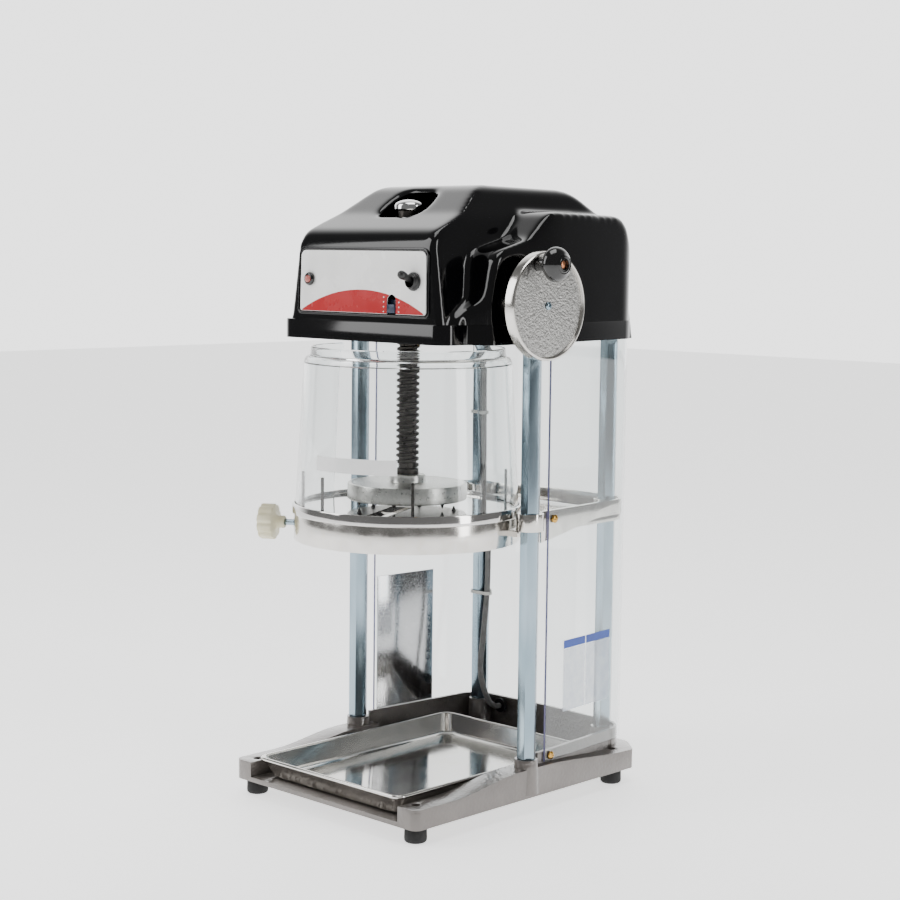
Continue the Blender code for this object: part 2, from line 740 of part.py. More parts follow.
def build_blade(frame, surfaces):
    """The blade on its tilted holder under the slot. Both rise together when it is adjusted."""
    lift = frame_empty("blade_lift", (0, SCREW_Y, 0), (0, 0, SLOT_ANGLE), frame)
    middle = (SLOT_INNER + SLOT_OUTER) / 2
    length = SLOT_OUTER - SLOT_INNER - 0.006
    plate_low = TABLE_TOP - TABLE_PLATE
    edge_z = TABLE_TOP - BLADE_TRAVEL - 0.0006
    tilt = radians(BLADE_TILT)
    low_x = -BLADE_WIDTH * cos(tilt)
    low_z = edge_z - BLADE_WIDTH * sin(tilt)
    top_edge = 0.004
    blade_outline = [(top_edge, edge_z), (top_edge + low_x, low_z),
                     (top_edge + low_x + BLADE_THICKNESS * sin(tilt), low_z - BLADE_THICKNESS * cos(tilt)),
                     (top_edge + 0.001, edge_z - BLADE_THICKNESS * 0.9)]
    blade = prism("blade", blade_outline, middle - length / 2, middle + length / 2, "X")
    part("blade", blade, surfaces["blade"], lift, smooth=False)
    drop = (BLADE_THICKNESS + GAP) / cos(tilt)
    slope = sin(tilt) / cos(tilt)
    start_x = top_edge + low_x + BLADE_THICKNESS * sin(tilt)
    end_x = top_edge - 0.002
    top = edge_z - drop
    holder_outline = [(start_x, top - (top_edge - start_x) * slope),
                      (end_x, top - (top_edge - end_x) * slope),
                      (end_x, plate_low - HOLDER_DEPTH), (start_x, plate_low - HOLDER_DEPTH)]
    holder = prism("holder", holder_outline, middle - length / 2, middle + length / 2, "X")
    foot = block("foot", (middle - length / 2, start_x, plate_low - HOLDER_DEPTH - 0.004),
                 (middle + length / 2, 0.016, plate_low - HOLDER_DEPTH + 0.001))
    guide = block("guide", (middle - length / 2, 0.0115, plate_low - HOLDER_DEPTH),
                  (middle + length / 2, 0.016, plate_low - BLADE_TRAVEL - GAP))
    part("blade_holder", join(holder, foot, guide), surfaces["brass"], lift, smooth=False)
    guard = plate_low - HOLDER_DEPTH - 0.004 - RUNNING_GAP
    reach = sqrt((RING_RADIUS - RING_WALL) ** 2 - RAIL_HALF ** 2) - RUNNING_GAP
    rail = block("rail", (SLOT_INNER - 0.004, -RAIL_HALF, guard - 0.004), (reach, RAIL_HALF, guard))
    rail.transform(Matrix.Rotation(radians(SLOT_ANGLE), 4, "Z"))
    part("blade_rail", shift(rail, y=SCREW_Y), surfaces["cast"], frame, smooth=False)


def fluted(radius, depth, flutes, low, high, bore):
    """A knob with scalloped sides, bored for its stud from the hub side."""
    outline = []
    steps = flutes * 5
    for i in range(steps):
        turn = tau * i / steps
        wave = depth * (0.5 + 0.5 * cos(flutes * turn)) ** 3
        outline.append(((radius - wave) * cos(turn), (radius - wave) * sin(turn)))
    body = prism("fluted", outline, low, high)
    hole = turned("hole", tube_profile(0, bore, low - 0.02, high - 0.004), 16)
    return body, hole


def build_adjuster(frame, surfaces):
    axle = frame_empty("adjust_axis", (0, SCREW_Y, ADJUST_Z), (0, 90, ADJUST_ANGLE), frame)
    hub_low = ADJUST_KNOB_START - ADJUST_HUB_LENGTH
    body, hole = fluted(ADJUST_KNOB_RADIUS, 0.0016, 10, ADJUST_KNOB_START, KNOB_END,
                        ADJUST_STUD_RADIUS + GAP)
    hub = turned("hub", tube_profile(0, ADJUST_HUB_RADIUS, hub_low, ADJUST_KNOB_START + 0.002), 16)
    knob = cut(join(body, hub), hole)
    part("adjust_knob", knob, surfaces["cream"], axle)
    nut_low = RING_RADIUS + 0.0015 + RUNNING_GAP
    stud_profile = [(0, ADJUST_STUD_END), (ADJUST_STUD_RADIUS, ADJUST_STUD_END),
                    (ADJUST_STUD_RADIUS, nut_low), (0.0048, nut_low), (0.0048, nut_low + 0.003),
                    (ADJUST_STUD_RADIUS, nut_low + 0.003),
                    (ADJUST_STUD_RADIUS, KNOB_END - 0.004 - GAP), (0, KNOB_END - 0.004 - GAP)]
    part("adjust_stud", turned("stud", stud_profile, 12), surfaces["zinc"], axle)


# Ice case, clear cover and film plate

def build_case(frame, surfaces):
    """A clear tapered cylinder with a 90 degree opening. It turns about the screw axis."""
    low = TABLE_TOP + GAP
    wall = CASE_WALL
    shoulder = CASE_SHOULDER
    profile = [(CASE_FOOT_RADIUS, low), (CASE_TOP_RADIUS + 0.0003, CASE_TOP - shoulder)]
    profile += [(CASE_TOP_RADIUS - shoulder * (1 - cos(radians(t))),
                 CASE_TOP - shoulder + shoulder * sin(radians(t)))
                for t in (30, 60, 90)]
    profile += [(CASE_LIP_RADIUS, CASE_TOP + 0.001), (CASE_LIP_RADIUS - 0.0004, CASE_LIP_TOP),
                (CASE_LIP_RADIUS - wall, CASE_LIP_TOP), (CASE_LIP_RADIUS - wall, CASE_TOP - wall),
                (CASE_TOP_RADIUS - shoulder, CASE_TOP - wall),
                (CASE_TOP_RADIUS - wall - 0.001, CASE_TOP - shoulder - 0.001),
                (CASE_FOOT_RADIUS - wall, low)]
    start = CASE_OPENING_ANGLE + CASE_OPENING / 2
    mesh = turned("case", profile, 30, 360 - CASE_OPENING, start)
    case = part("ice_case", mesh, surfaces["clear"], frame)
    case.location = (0, SCREW_Y, 0)


def build_cover(frame, surfaces):
    """One clear sheet bent round the back, from the base rim to the head."""
    low = RIM_SEAT
    high = HEAD_BOTTOM - GAP
    body = prism("cover", back_wall(GAP, GAP + COVER_SHEET, COVER_FRONT), low, high)
    screws = []
    for side in (-1, 1):
        for level in COVER_SCREW_LEVELS:
            y = COVER_FRONT + COVER_SCREW_SETBACK
            x = side * (OUTLINE_HALF_FRONT - (y - OUTLINE_FRONT) * side_slope() + GAP + COVER_SHEET / 2)
            screws.append((x, y, level))
            hole = turned("hole", tube_profile(0, COVER_SCREW_SHANK + GAP, -0.004, 0.004), 12)
            body = cut(body, shift(aim(hole, (1, 0, 0)), x, y, level))
    rear = min(back_path(0), key=lambda point: abs(point[0] - GLAND_X) + (point[1] < 0.1))[1]
    bore = aim(turned("bore", tube_profile(0, GLAND_BORE, -0.01, 0.01), 20), (0, 1, 0))
    body = cut(body, shift(bore, GLAND_X, rear, GLAND_Z))
    part("rear_cover", body, surfaces["clear"], frame)
    for number, (x, y, level) in enumerate(screws, 1):
        side = 1 if x > 0 else -1
        outer = COVER_SHEET / 2 + GAP * 2
        profile = [(0, -COVER_SHEET / 2), (COVER_SCREW_SHANK, -COVER_SHEET / 2),
                   (COVER_SCREW_SHANK, outer), (COVER_SCREW_RADIUS, outer),
                   (COVER_SCREW_RADIUS, outer + COVER_SCREW_HEAD * 0.5),
                   (COVER_SCREW_RADIUS * 0.6, outer + COVER_SCREW_HEAD), (0, outer + COVER_SCREW_HEAD)]
        screw = turned("screw", profile, 10)
        made = part("cover_screw_%d" % number, aim(screw, (side, 0, 0)), surfaces["brass"], frame)
        made.location = (x, y, level)


def side_slope():
    """How far the back outline draws in for each metre towards the rear."""
    return (OUTLINE_HALF_FRONT - OUTLINE_HALF_REAR) / (OUTLINE_CORNER_Y - OUTLINE_FRONT)


def build_film(frame, surfaces):
    """Bright film plate on the inside of the cover's left wall."""
    start = (FILM_START - OUTLINE_FRONT) * side_slope()
    end = (FILM_START + FILM_LENGTH - OUTLINE_FRONT) * side_slope()
    outer = OUTLINE_HALF_FRONT - GAP * 2
    outline = [(-(outer - start), FILM_START), (-(outer - end), FILM_START + FILM_LENGTH),
               (-(outer - end - FILM_SHEET), FILM_START + FILM_LENGTH),
               (-(outer - start - FILM_SHEET), FILM_START)]
    part("film_plate", prism("film", outline, RIM_TOP + GAP, RIM_TOP + GAP + FILM_HEIGHT),
         surfaces["mirror"], frame, smooth=False)


# Spindle: press plate, lead screw and cap

def build_spindle(frame, surfaces):
    axle = frame_empty("screw_axis", (0, SCREW_Y, 0), parent=frame)
    top = PLATE_LOW + PLATE_THICKNESS
    hub_top = top + PLATE_HUB_HEIGHT
    profile = [(0, PLATE_LOW), (PLATE_RADIUS, PLATE_LOW),
               (PLATE_RADIUS, top - 0.0012), (PLATE_RADIUS - 0.0012, top),
               (PLATE_HUB_RADIUS, top), (PLATE_HUB_RADIUS, hub_top),
               (SCREW_RADIUS + GAP, hub_top), (SCREW_RADIUS + GAP, top - 0.006), (0, top - 0.006)]
    plate = turned("plate", profile, 28)
    for i in range(SPIKE_COUNT):
        spike = turned("spike", [(0, PLATE_LOW - SPIKE_LENGTH),
                             (SPIKE_RADIUS * 0.4, PLATE_LOW - SPIKE_LENGTH),
                                 (SPIKE_RADIUS, PLATE_LOW + 0.001), (0, PLATE_LOW + 0.001)], 8)
        turn = tau * i / SPIKE_COUNT
        plate = join(plate, shift(spike, SPIKE_CIRCLE * cos(turn), SPIKE_CIRCLE * sin(turn)))
    part("press_plate", plate, surfaces["cast"], axle)
    low = top - 0.006 + GAP
    bar = turned("bar", tube_profile(0, SCREW_RADIUS, low, SCREW_TOP, 0.0008), 24)
    key = block("key", (SCREW_RADIUS - KEYWAY_DEPTH, -KEYWAY_WIDTH / 2, hub_top + 0.002),
                (SCREW_RADIUS + 0.01, KEYWAY_WIDTH / 2, SCREW_TOP - 0.004))
    part("lead_screw", cut(bar, key), surfaces["steel_dark"], axle)
    cap_low = SCREW_TOP + GAP
    cap_profile = [(0, cap_low), (CAP_RADIUS - 0.001, cap_low), (CAP_RADIUS, cap_low + 0.001)]
    cap_profile += [(CAP_RADIUS * cos(radians(t)), cap_low + 0.004 + (CAP_HEIGHT - 0.004) * sin(radians(t)))
                    for t in (0, 25, 50, 70)]
    cap_profile += [(0.004, cap_low + CAP_HEIGHT), (0.003, cap_low + CAP_HEIGHT - 0.002),
                    (0, cap_low + CAP_HEIGHT - 0.002)]
    part("screw_cap", turned("cap", cap_profile, 16), surfaces["chrome"], axle)


# Head: chassis, moulded cover and control panel

def closed_inset(corners, distance):
    """A closed polygon, run anticlockwise, moved inwards by a distance."""
    count = len(corners)
    points = []
    for i in range(count):
        p = Vector(corners[i])
        before = (p - Vector(corners[i - 1])).normalized()
        after = (Vector(corners[(i + 1) % count]) - p).normalized()
        normal = Vector((-before.y, before.x))
        normal_after = Vector((-after.y, after.x))
        bisector = (normal + normal_after).normalized()
        points.append(tuple(p + bisector * (distance / bisector.dot(normal))))
    return points


def head_plan(inset):
    half = [(NOSE_HALF, HEAD_FRONT), (NOSE_HALF, SIDE_FRONT - 0.006), (SIDE_HALF, SIDE_FRONT + 0.004),
            (SIDE_HALF - 0.001, SIDE_MID_Y), (SIDE_HALF_REAR, HEAD_REAR)]
    corners = half + [(-x, y) for x, y in reversed(half)]
    radii = [0.014 - inset, 0.006 + inset, 0.010 - inset, 0.2, 0.030 - inset]
    return rounded(closed_inset(corners, inset), radii + radii[::-1])


def nose_shape(inset, low):
    side = [(HEAD_FRONT + 0.003, HEAD_BOTTOM), (HEAD_FRONT + 0.0045, 0.5460), (SCREW_Y - 0.016, 0.5660),
            (SCREW_Y + 0.024, 0.5935), (0.0950, 0.5915), (0.1500, 0.5480), (HEAD_REAR - 0.001, HEAD_BOTTOM)]
    side = rounded(offset_path(side, inset), [0, 0.022, 0.05, 0.035, 0.05, 0.05, 0], 5, False)
    side = [(side[0][0], low)] + side[1:-1] + [(side[-1][0], low)]
    shoulder = NOSE_HALF - 0.021
    crown = NOSE_HALF - 0.0445
    front = [(-NOSE_HALF + 0.003, HEAD_BOTTOM), (-shoulder, 0.5600), (-crown, HEAD_TOP + 0.004),
             (crown, HEAD_TOP + 0.004), (shoulder, 0.5600), (NOSE_HALF - 0.003, HEAD_BOTTOM)]
    front = rounded(offset_path(front, inset), [0, 0.03, 0.03, 0.03, 0.03, 0], 4, False)
    front = [(front[0][0], low)] + front[1:-1] + [(front[-1][0], low)]
    return common(prism("nose", side, -0.13, 0.13, "X"), prism("nose", front, -0.2, 0.2, "Y"))


def side_shape(inset, low):
    """The wide body round the gears and the motor, lower in front beside the nose."""
    profile = [(SIDE_FRONT, HEAD_BOTTOM), (SIDE_FRONT, LEDGE_TOP), (-0.0320, LEDGE_TOP),
               (0.0080, SIDE_TOP), (0.1300, SIDE_TOP), (0.1530, 0.5300), (HEAD_REAR, HEAD_BOTTOM)]
    profile = rounded(offset_path(profile, inset), [0, 0.028, 0.022, 0.022, 0.03, 0.03, 0], 4, False)
    profile = [(profile[0][0], low)] + profile[1:-1] + [(profile[-1][0], low)]
    plan = prism("plan", head_plan(inset), low - 0.001, HEAD_TOP)
    return common(plan, prism("side", profile, -0.2, 0.2, "X"))


def panel_y(z):
    """The nose's front face leans back a little."""
    return HEAD_FRONT + 0.003 + (z - HEAD_BOTTOM) * 0.0015 / (0.5460 - HEAD_BOTTOM)


def slot_outline(half, low, high):
    return [(SLOT_X - half, low), (SLOT_X + half, low)] + arc((SLOT_X, high - half), half, 0, 180, 8)


def build_head(frame, surfaces):
    below = HEAD_BOTTOM - 0.010
    outer = join(nose_shape(0.0, below), side_shape(0.0, below - 0.001),
                 prism("lip", head_plan(-LIP_STEP), below - 0.002, HEAD_LIP_TOP))
    inside = join(nose_shape(HEAD_WALL, below - 0.003), side_shape(HEAD_WALL, below - 0.004),
                  prism("lip", head_plan(HEAD_WALL - LIP_STEP), below - 0.005, HEAD_LIP_TOP - HEAD_WALL))
    under = block("under", (-0.2, -0.2, below - 0.02), (0.2, 0.2, HEAD_BOTTOM))
    shell = cut(outer, inside, under)
    eye = rounded([(-EYE_WIDTH / 2, EYE_FRONT), (EYE_WIDTH / 2, EYE_FRONT),
                   (EYE_WIDTH / 2 - 0.008, EYE_REAR), (-EYE_WIDTH / 2 + 0.008, EYE_REAR)],
                  [0.010] * 4, 4)
    shell = cut(shell, prism("eye", eye, SCREW_TOP - 0.024, HEAD_TOP + 0.05))
    for x, radius in ((LAMP_X, LAMP_BORE), (SWITCH_X, SWITCH_BORE)):
        hole = aim(turned("hole", tube_profile(0, radius + GAP, -0.01, 0.01), 20), (0, 1, 0))
        shell = cut(shell, shift(hole, x, panel_y(CONTROL_Z), CONTROL_Z))
    shell = cut(shell, prism("slot", slot_outline(SLOT_HALF, SLOT_LOW, SLOT_HIGH), -0.15, -0.10, "Y"))
    hole = aim(turned("hole", tube_profile(0, WHEEL_HOLE, 0.08, 0.16), 24), (1, 0, 0))
    shell = cut(shell, shift(hole, 0, WHEEL_Y, WHEEL_Z))
    part("head_cover", shell, surfaces["black"], frame)

    low = HEAD_BOTTOM
    high = low + CHASSIS_THICKNESS
    plate = prism("chassis", head_plan(HEAD_WALL + 0.0005), low, high)
    holes = [turned("hole", tube_profile(0, NUT_HUB_RADIUS + RUNNING_GAP, 0.4, 0.5), 28)]
    holes[0] = shift(holes[0], y=SCREW_Y)
    for x, y in column_places().values():
        holes.append(shift(turned("hole", tube_profile(0, SPIGOT_RADIUS + GAP, 0.4, 0.5), 16), x, y))
    holes.append(shift(turned("hole", tube_profile(0, IDLER_SHAFT + RUNNING_GAP, low + 0.002, 0.5), 16),
                       idler_x(), WHEEL_Y))
    holes.append(shift(turned("hole", tube_profile(0, CORD_RADIUS + GAP, 0.4, 0.5), 12), CORD_X, CORD_Y))
    part("head_chassis", cut(plate, *holes), surfaces["cast"], frame)

    panel = [(-PANEL_HALF, PANEL_LOW), (PANEL_HALF, PANEL_LOW), (PANEL_HALF - 0.001, PANEL_HIGH),
             (-PANEL_HALF + 0.001, PANEL_HIGH)]
    plate = prism("panel", rounded(panel, [0.003] * 4, 3), 0.0, PANEL_SHEET, "Y")
    for x, radius in ((LAMP_X, LAMP_BORE), (SWITCH_X, SWITCH_BORE)):
        hole = aim(turned("hole", tube_profile(0, radius + GAP, -0.01, 0.01), 20), (0, 1, 0))
        plate = cut(plate, shift(hole, x, 0, CONTROL_Z))
    notch = slot_outline(SLOT_HALF, SLOT_LOW - 0.01, SLOT_HIGH)
    plate = cut(plate, prism("notch", notch, -0.01, 0.01, "Y"))
    lean = 0.0015 / (0.5460 - HEAD_BOTTOM)
    front = panel_y(HEAD_BOTTOM) - PANEL_SHEET - GAP
    for vertex in plate.vertices:
        vertex.co.y += front + (vertex.co.z - HEAD_BOTTOM) * lean
    part("control_panel", plate, surfaces["panel"], frame, smooth=False)


def build_controls(frame, surfaces):
    face = panel_y(CONTROL_Z) - PANEL_SHEET - GAP * 2
    lamp = [(0, -0.010), (LAMP_BORE, -0.010), (LAMP_BORE, GAP), (LAMP_FLANGE, GAP),
            (LAMP_FLANGE, 0.0025), (LAMP_FLANGE - 0.001, 0.0035), (LAMP_LENS + GAP, 0.0035),
            (LAMP_LENS + GAP, 0.001), (0, 0.001)]
    bezel = part("lamp_bezel", aim(turned("bezel", lamp, 16), (0, -1, 0)), surfaces["black"], frame)
    bezel.location = (LAMP_X, face, CONTROL_Z)
    lens = [(0, 0.001 + GAP), (LAMP_LENS, 0.001 + GAP), (LAMP_LENS, 0.0035)]
    lens += [(LAMP_LENS * cos(radians(t)), 0.0035 + 0.0025 * sin(radians(t))) for t in (25, 50, 70)]
    lens += [(0, 0.006)]
    glass = part("pilot_lamp", aim(turned("lens", lens, 12), (0, -1, 0)), surfaces["lamp"], frame)
    glass.location = (LAMP_X, face, CONTROL_Z)

    body = [(0, -0.016), (SWITCH_BORE, -0.016), (SWITCH_BORE, GAP), (SWITCH_FLANGE, GAP),
            (SWITCH_FLANGE, 0.004), (SWITCH_FLANGE - 0.0015, 0.0065), (0.0052, 0.0065),
            (0.0052, -0.002), (0, -0.002)]
    made = part("switch_body", aim(turned("switch", body, 18), (0, -1, 0)), surfaces["black"], frame)
    made.location = (SWITCH_X, face, CONTROL_Z)
    axle = frame_empty("switch_axis", (SWITCH_X, face - 0.001, CONTROL_Z), (0, 0, 0), frame)
    lever = [(0, -0.0020), (0.0018, -0.0020), (0.0020, 0.006), (0.0034, 0.0145), (0.0032, 0.0172),
             (0.0020, 0.0186), (0, 0.0190)]
    toggle = aim(turned("toggle", lever, 16), (0, -cos(radians(SWITCH_LEAN)), sin(radians(SWITCH_LEAN))))
    part("switch_lever", toggle, surfaces["black"], axle)

    inner = panel_y(SLOT_LOW) + HEAD_WALL + 0.001
    stem = SLOT_HALF - SLIDE_GAP - 0.0004
    knob = block("slider", (SLOT_X - stem, face - 0.0010, SLOT_LOW + 0.001),
                 (SLOT_X + stem, inner + 0.0012, SLOT_LOW + 0.009))
    back = block("back", (SLOT_X - 0.009, inner, SLOT_LOW - 0.001),
                 (SLOT_X + 0.009, inner + 0.002, SLOT_LOW + 0.013))
    part("speed_slider", join(knob, back), surfaces["blue"], frame, smooth=False)


# Drive inside the head

def idler_x():
    centres = (NUT_TEETH + IDLER_TEETH) * GEAR_MODULE / 2
    return sqrt(centres ** 2 - (WHEEL_Y - SCREW_Y) ** 2)


def mesh_angle():
    """Direction from the screw axis to the idler, in degrees."""
    return atan2(WHEEL_Y - SCREW_Y, idler_x()) * 180 / pi


def gear_outline(teeth, root, tip, phase, width=1.0):
    """Straight-sided teeth, one of them centred on the phase angle."""
    step = 360 / teeth
    foot = step * TOOTH_FOOT * width / 2
    crest = step * TOOTH_CREST * width / 2
    points = []
    for i in range(teeth):
        middle = phase + i * step
        for radius, turn in ((root, -foot), (tip, -crest), (tip, crest), (root, foot)):
            angle = radians(middle + turn)
            points.append((radius * cos(angle), radius * sin(angle)))
    return points


def spur(teeth, low, high, phase):
    pitch = teeth * GEAR_MODULE / 2
    outline = gear_outline(teeth, pitch - DEDENDUM * GEAR_MODULE, pitch + ADDENDUM * GEAR_MODULE, phase)
    return prism("spur", outline, low, high)


def mitre(phase, length):
    """A 45 degree bevel gear with its heel at z = 0 and its apex above."""
    pitch = MITRE_TEETH * MITRE_MODULE / 2
    cone = pitch * sqrt(2)
    tip = pitch * tan(pi / 4 + asin(ADDENDUM * MITRE_MODULE / cone))
    root = pitch * tan(pi / 4 - asin(DEDENDUM * MITRE_MODULE / cone))
    outline = gear_outline(MITRE_TEETH, root, tip, phase, MITRE_TOOTH_WIDTH)
    shrink = (pitch - length) / pitch
    loops = [[(x, y, 0.0) for x, y in outline],
             [(x * shrink, y * shrink, length) for x, y in outline]]
    return lofted("mitre", loops)


def build_lift_drive(frame, surfaces):
    """Nut gear, idler, wheel shaft and its bearing."""
    seat = HEAD_BOTTOM + CHASSIS_THICKNESS
    high = NUT_GEAR_LOW + GEAR_FACE
    bore = SCREW_RADIUS + RUNNING_GAP
    nut = spur(NUT_TEETH, NUT_GEAR_LOW, high, mesh_angle())
    hub = turned("hub", [(0, HEAD_BOTTOM + 0.001), (NUT_HUB_RADIUS, HEAD_BOTTOM + 0.001),
                         (NUT_HUB_RADIUS, seat + GAP), (NUT_HUB_RADIUS + 0.004, seat + GAP),
                         (NUT_HUB_RADIUS + 0.004, NUT_GEAR_LOW + 0.001), (0, NUT_GEAR_LOW + 0.001)], 32)
    nut = cut(join(nut, hub), turned("bore", tube_profile(0, bore, 0.4, 0.5), 28))
    made = part("nut_gear", nut, surfaces["brass"], frame)
    made.location = (0, SCREW_Y, 0)

    apex = MITRE_TEETH * MITRE_MODULE / 2
    low_mitre = WHEEL_Z - apex
    gear = spur(IDLER_TEETH, NUT_GEAR_LOW, high, mesh_angle() + 180 + 180 / IDLER_TEETH)
    neck = turned("neck", [(0, HEAD_BOTTOM + 0.0025), (IDLER_SHAFT, HEAD_BOTTOM + 0.0025),
                           (IDLER_SHAFT, seat + GAP), (0.008, seat + GAP),
                           (0.008, low_mitre + 0.001), (0, low_mitre + 0.001)], 20)
    bevel = shift(mitre(0.0, GEAR_BEVEL), z=low_mitre)
    made = part("idler_gear", join(gear, neck, bevel), surfaces["brass"], frame)
    made.location = (idler_x(), WHEEL_Y, 0)

    axle = frame_empty("wheel_axis", (0, WHEEL_Y, WHEEL_Z), parent=frame)
    bevel = mitre(180 / MITRE_TEETH, GEAR_BEVEL)
    boss = turned("boss", tube_profile(0, 0.0095, -0.008, 0.001), 24)
    bevel = join(bevel, boss)
    bevel = cut(bevel, turned("bore", tube_profile(0, WHEEL_SHAFT_RADIUS + GAP, -0.1, 0.1), 20))
    turn = Matrix.Rotation(-pi / 2, 4, "Y")
    bevel.transform(turn)
    part("pinion_gear", shift(bevel, x=idler_x() + apex), surfaces["brass"], axle)
    shaft_end = WHEEL_FACE_X - WHEEL_RECESS - 0.004
    shaft = turned("shaft", tube_profile(0, WHEEL_SHAFT_RADIUS, idler_x() + apex - GEAR_BEVEL,
                                         shaft_end, 0.0005), 20)
    part("wheel_shaft", aim(shaft, (1, 0, 0)), surfaces["zinc"], axle)

    half = BEARING_WIDTH / 2
    block_mesh = block("bearing", (BEARING_X - half, WHEEL_Y - 0.015, seat + GAP),
                       (BEARING_X + half, WHEEL_Y + 0.015, WHEEL_Z))
    ring = shift(aim(turned("ring", tube_profile(0, 0.015, -half, half), 20), (1, 0, 0)),
                 BEARING_X, WHEEL_Y, WHEEL_Z)
    hole = shift(aim(turned("hole", tube_profile(0, WHEEL_SHAFT_RADIUS + GAP, -0.02, 0.02), 20), (1, 0, 0)),
                 BEARING_X, WHEEL_Y, WHEEL_Z)
    part("shaft_bearing", cut(join(block_mesh, ring), hole), surfaces["cast"], frame)
    return axle


def build_screw_drive(frame, surfaces):
    """Keyed pulley on the lead screw, its bearing stand, the belt and the motor."""
    seat = HEAD_BOTTOM + CHASSIS_THICKNESS
    axle = frame_empty("drive_axis", (0, SCREW_Y, 0), parent=frame)
    bore = SCREW_RADIUS + RUNNING_GAP
    high = PULLEY_LOW + PULLEY_WIDTH
    groove = BELT_THICKNESS
    profile = [(bore, STAND_LOW - 0.003), (SLEEVE_RADIUS, STAND_LOW - 0.003),
               (SLEEVE_RADIUS, STAND_HIGH + GAP), (SLEEVE_RADIUS + 0.004, STAND_HIGH + GAP),
               (SLEEVE_RADIUS + 0.004, PULLEY_LOW + 0.003), (PULLEY_RADIUS - 0.010, PULLEY_LOW + 0.003),
               (PULLEY_RADIUS - 0.009, PULLEY_LOW), (PULLEY_RADIUS, PULLEY_LOW),
               (PULLEY_RADIUS - groove, PULLEY_LOW + 0.003), (PULLEY_RADIUS - groove, high - 0.003),
               (PULLEY_RADIUS, high), (PULLEY_RADIUS - 0.009, high), (PULLEY_RADIUS - 0.010, high - 0.003),
               (SLEEVE_RADIUS, high - 0.003), (SLEEVE_RADIUS, high + 0.004), (bore, high + 0.004)]
    pulley = turned("pulley", profile, 22)
    key_half = KEYWAY_WIDTH / 2 - RUNNING_GAP
    key = block("key", (SCREW_RADIUS - KEYWAY_DEPTH + RUNNING_GAP, -key_half, STAND_LOW),
                (bore + 0.001, key_half, high))
    part("drive_pulley", join(pulley, key), surfaces["cast"], axle)

    ring = turned("stand", tube_profile(SLEEVE_RADIUS + RUNNING_GAP, STAND_RADIUS, STAND_LOW, STAND_HIGH), 28)
    for angle in STAND_POSTS:
        post = turned("post", tube_profile(0, 0.005, seat + GAP, STAND_LOW + 0.001), 10)
        turn = radians(angle)
        reach = STAND_RADIUS - 0.0055
        ring = join(ring, shift(post, reach * cos(turn), reach * sin(turn)))
    clear = block("clear", (idler_x() - 0.012, -0.1, 0.4), (0.1, 0.1, 0.6))
    stand = part("bearing_stand", cut(ring, clear), surfaces["cast"], frame)
    stand.location = (0, SCREW_Y, 0)

    middle = (PULLEY_LOW + high) / 2
    run = PULLEY_RADIUS - groove + RUNNING_GAP
    small = MOTOR_PULLEY_RADIUS - groove + RUNNING_GAP
    outer = belt_outline(run + BELT_THICKNESS, small + BELT_THICKNESS)
    inner = belt_outline(run, small)
    belt = cut(prism("belt", outer, middle - BELT_HALF, middle + BELT_HALF),
               prism("inside", inner, 0.4, 0.6))
    part("drive_belt", belt, surfaces["rubber"], frame)

    shell_low = seat + GAP
    shell_high = shell_low + MOTOR_HEIGHT
    shaft_bore = MOTOR_SHAFT_RADIUS + RUNNING_GAP
    shell = [(0, shell_low), (MOTOR_RADIUS, shell_low), (MOTOR_RADIUS, shell_low + 0.004),
             (MOTOR_RADIUS - 0.004, shell_low + 0.006), (MOTOR_RADIUS - 0.004, shell_high - 0.008),
             (MOTOR_RADIUS - 0.010, shell_high - 0.002), (0.014, shell_high - 0.002), (0.014, shell_high),
             (shaft_bore, shell_high), (shaft_bore, shell_low + 0.006), (0, shell_low + 0.006)]
    motor = part("motor", turned("motor", shell, 20), surfaces["motor"], frame)
    motor.location = (0, MOTOR_Y, 0)
    small_pulley = [(0, shell_low + 0.006 + GAP), (MOTOR_SHAFT_RADIUS, shell_low + 0.006 + GAP),
                    (MOTOR_SHAFT_RADIUS, PULLEY_LOW), (MOTOR_PULLEY_RADIUS, PULLEY_LOW),
                    (MOTOR_PULLEY_RADIUS - groove, PULLEY_LOW + 0.003),
                    (MOTOR_PULLEY_RADIUS - groove, high - 0.003), (MOTOR_PULLEY_RADIUS, high), (0, high)]
    made = part("motor_pulley", turned("pulley", small_pulley, 20), surfaces["zinc"], frame)
    made.location = (0, MOTOR_Y, 0)


def belt_outline(front_radius, rear_radius):
    """Outer line of a belt round the pulley in front and the smaller one behind it."""
    span = MOTOR_Y - SCREW_Y
    lean = asin((front_radius - rear_radius) / span) * 180 / pi
    front = arc((0, SCREW_Y), front_radius, 180 - lean, 360 + lean, 18)
    rear = arc((0, MOTOR_Y), rear_radius, lean, 180 - lean, 8)
    return front + rear


# Handwheel

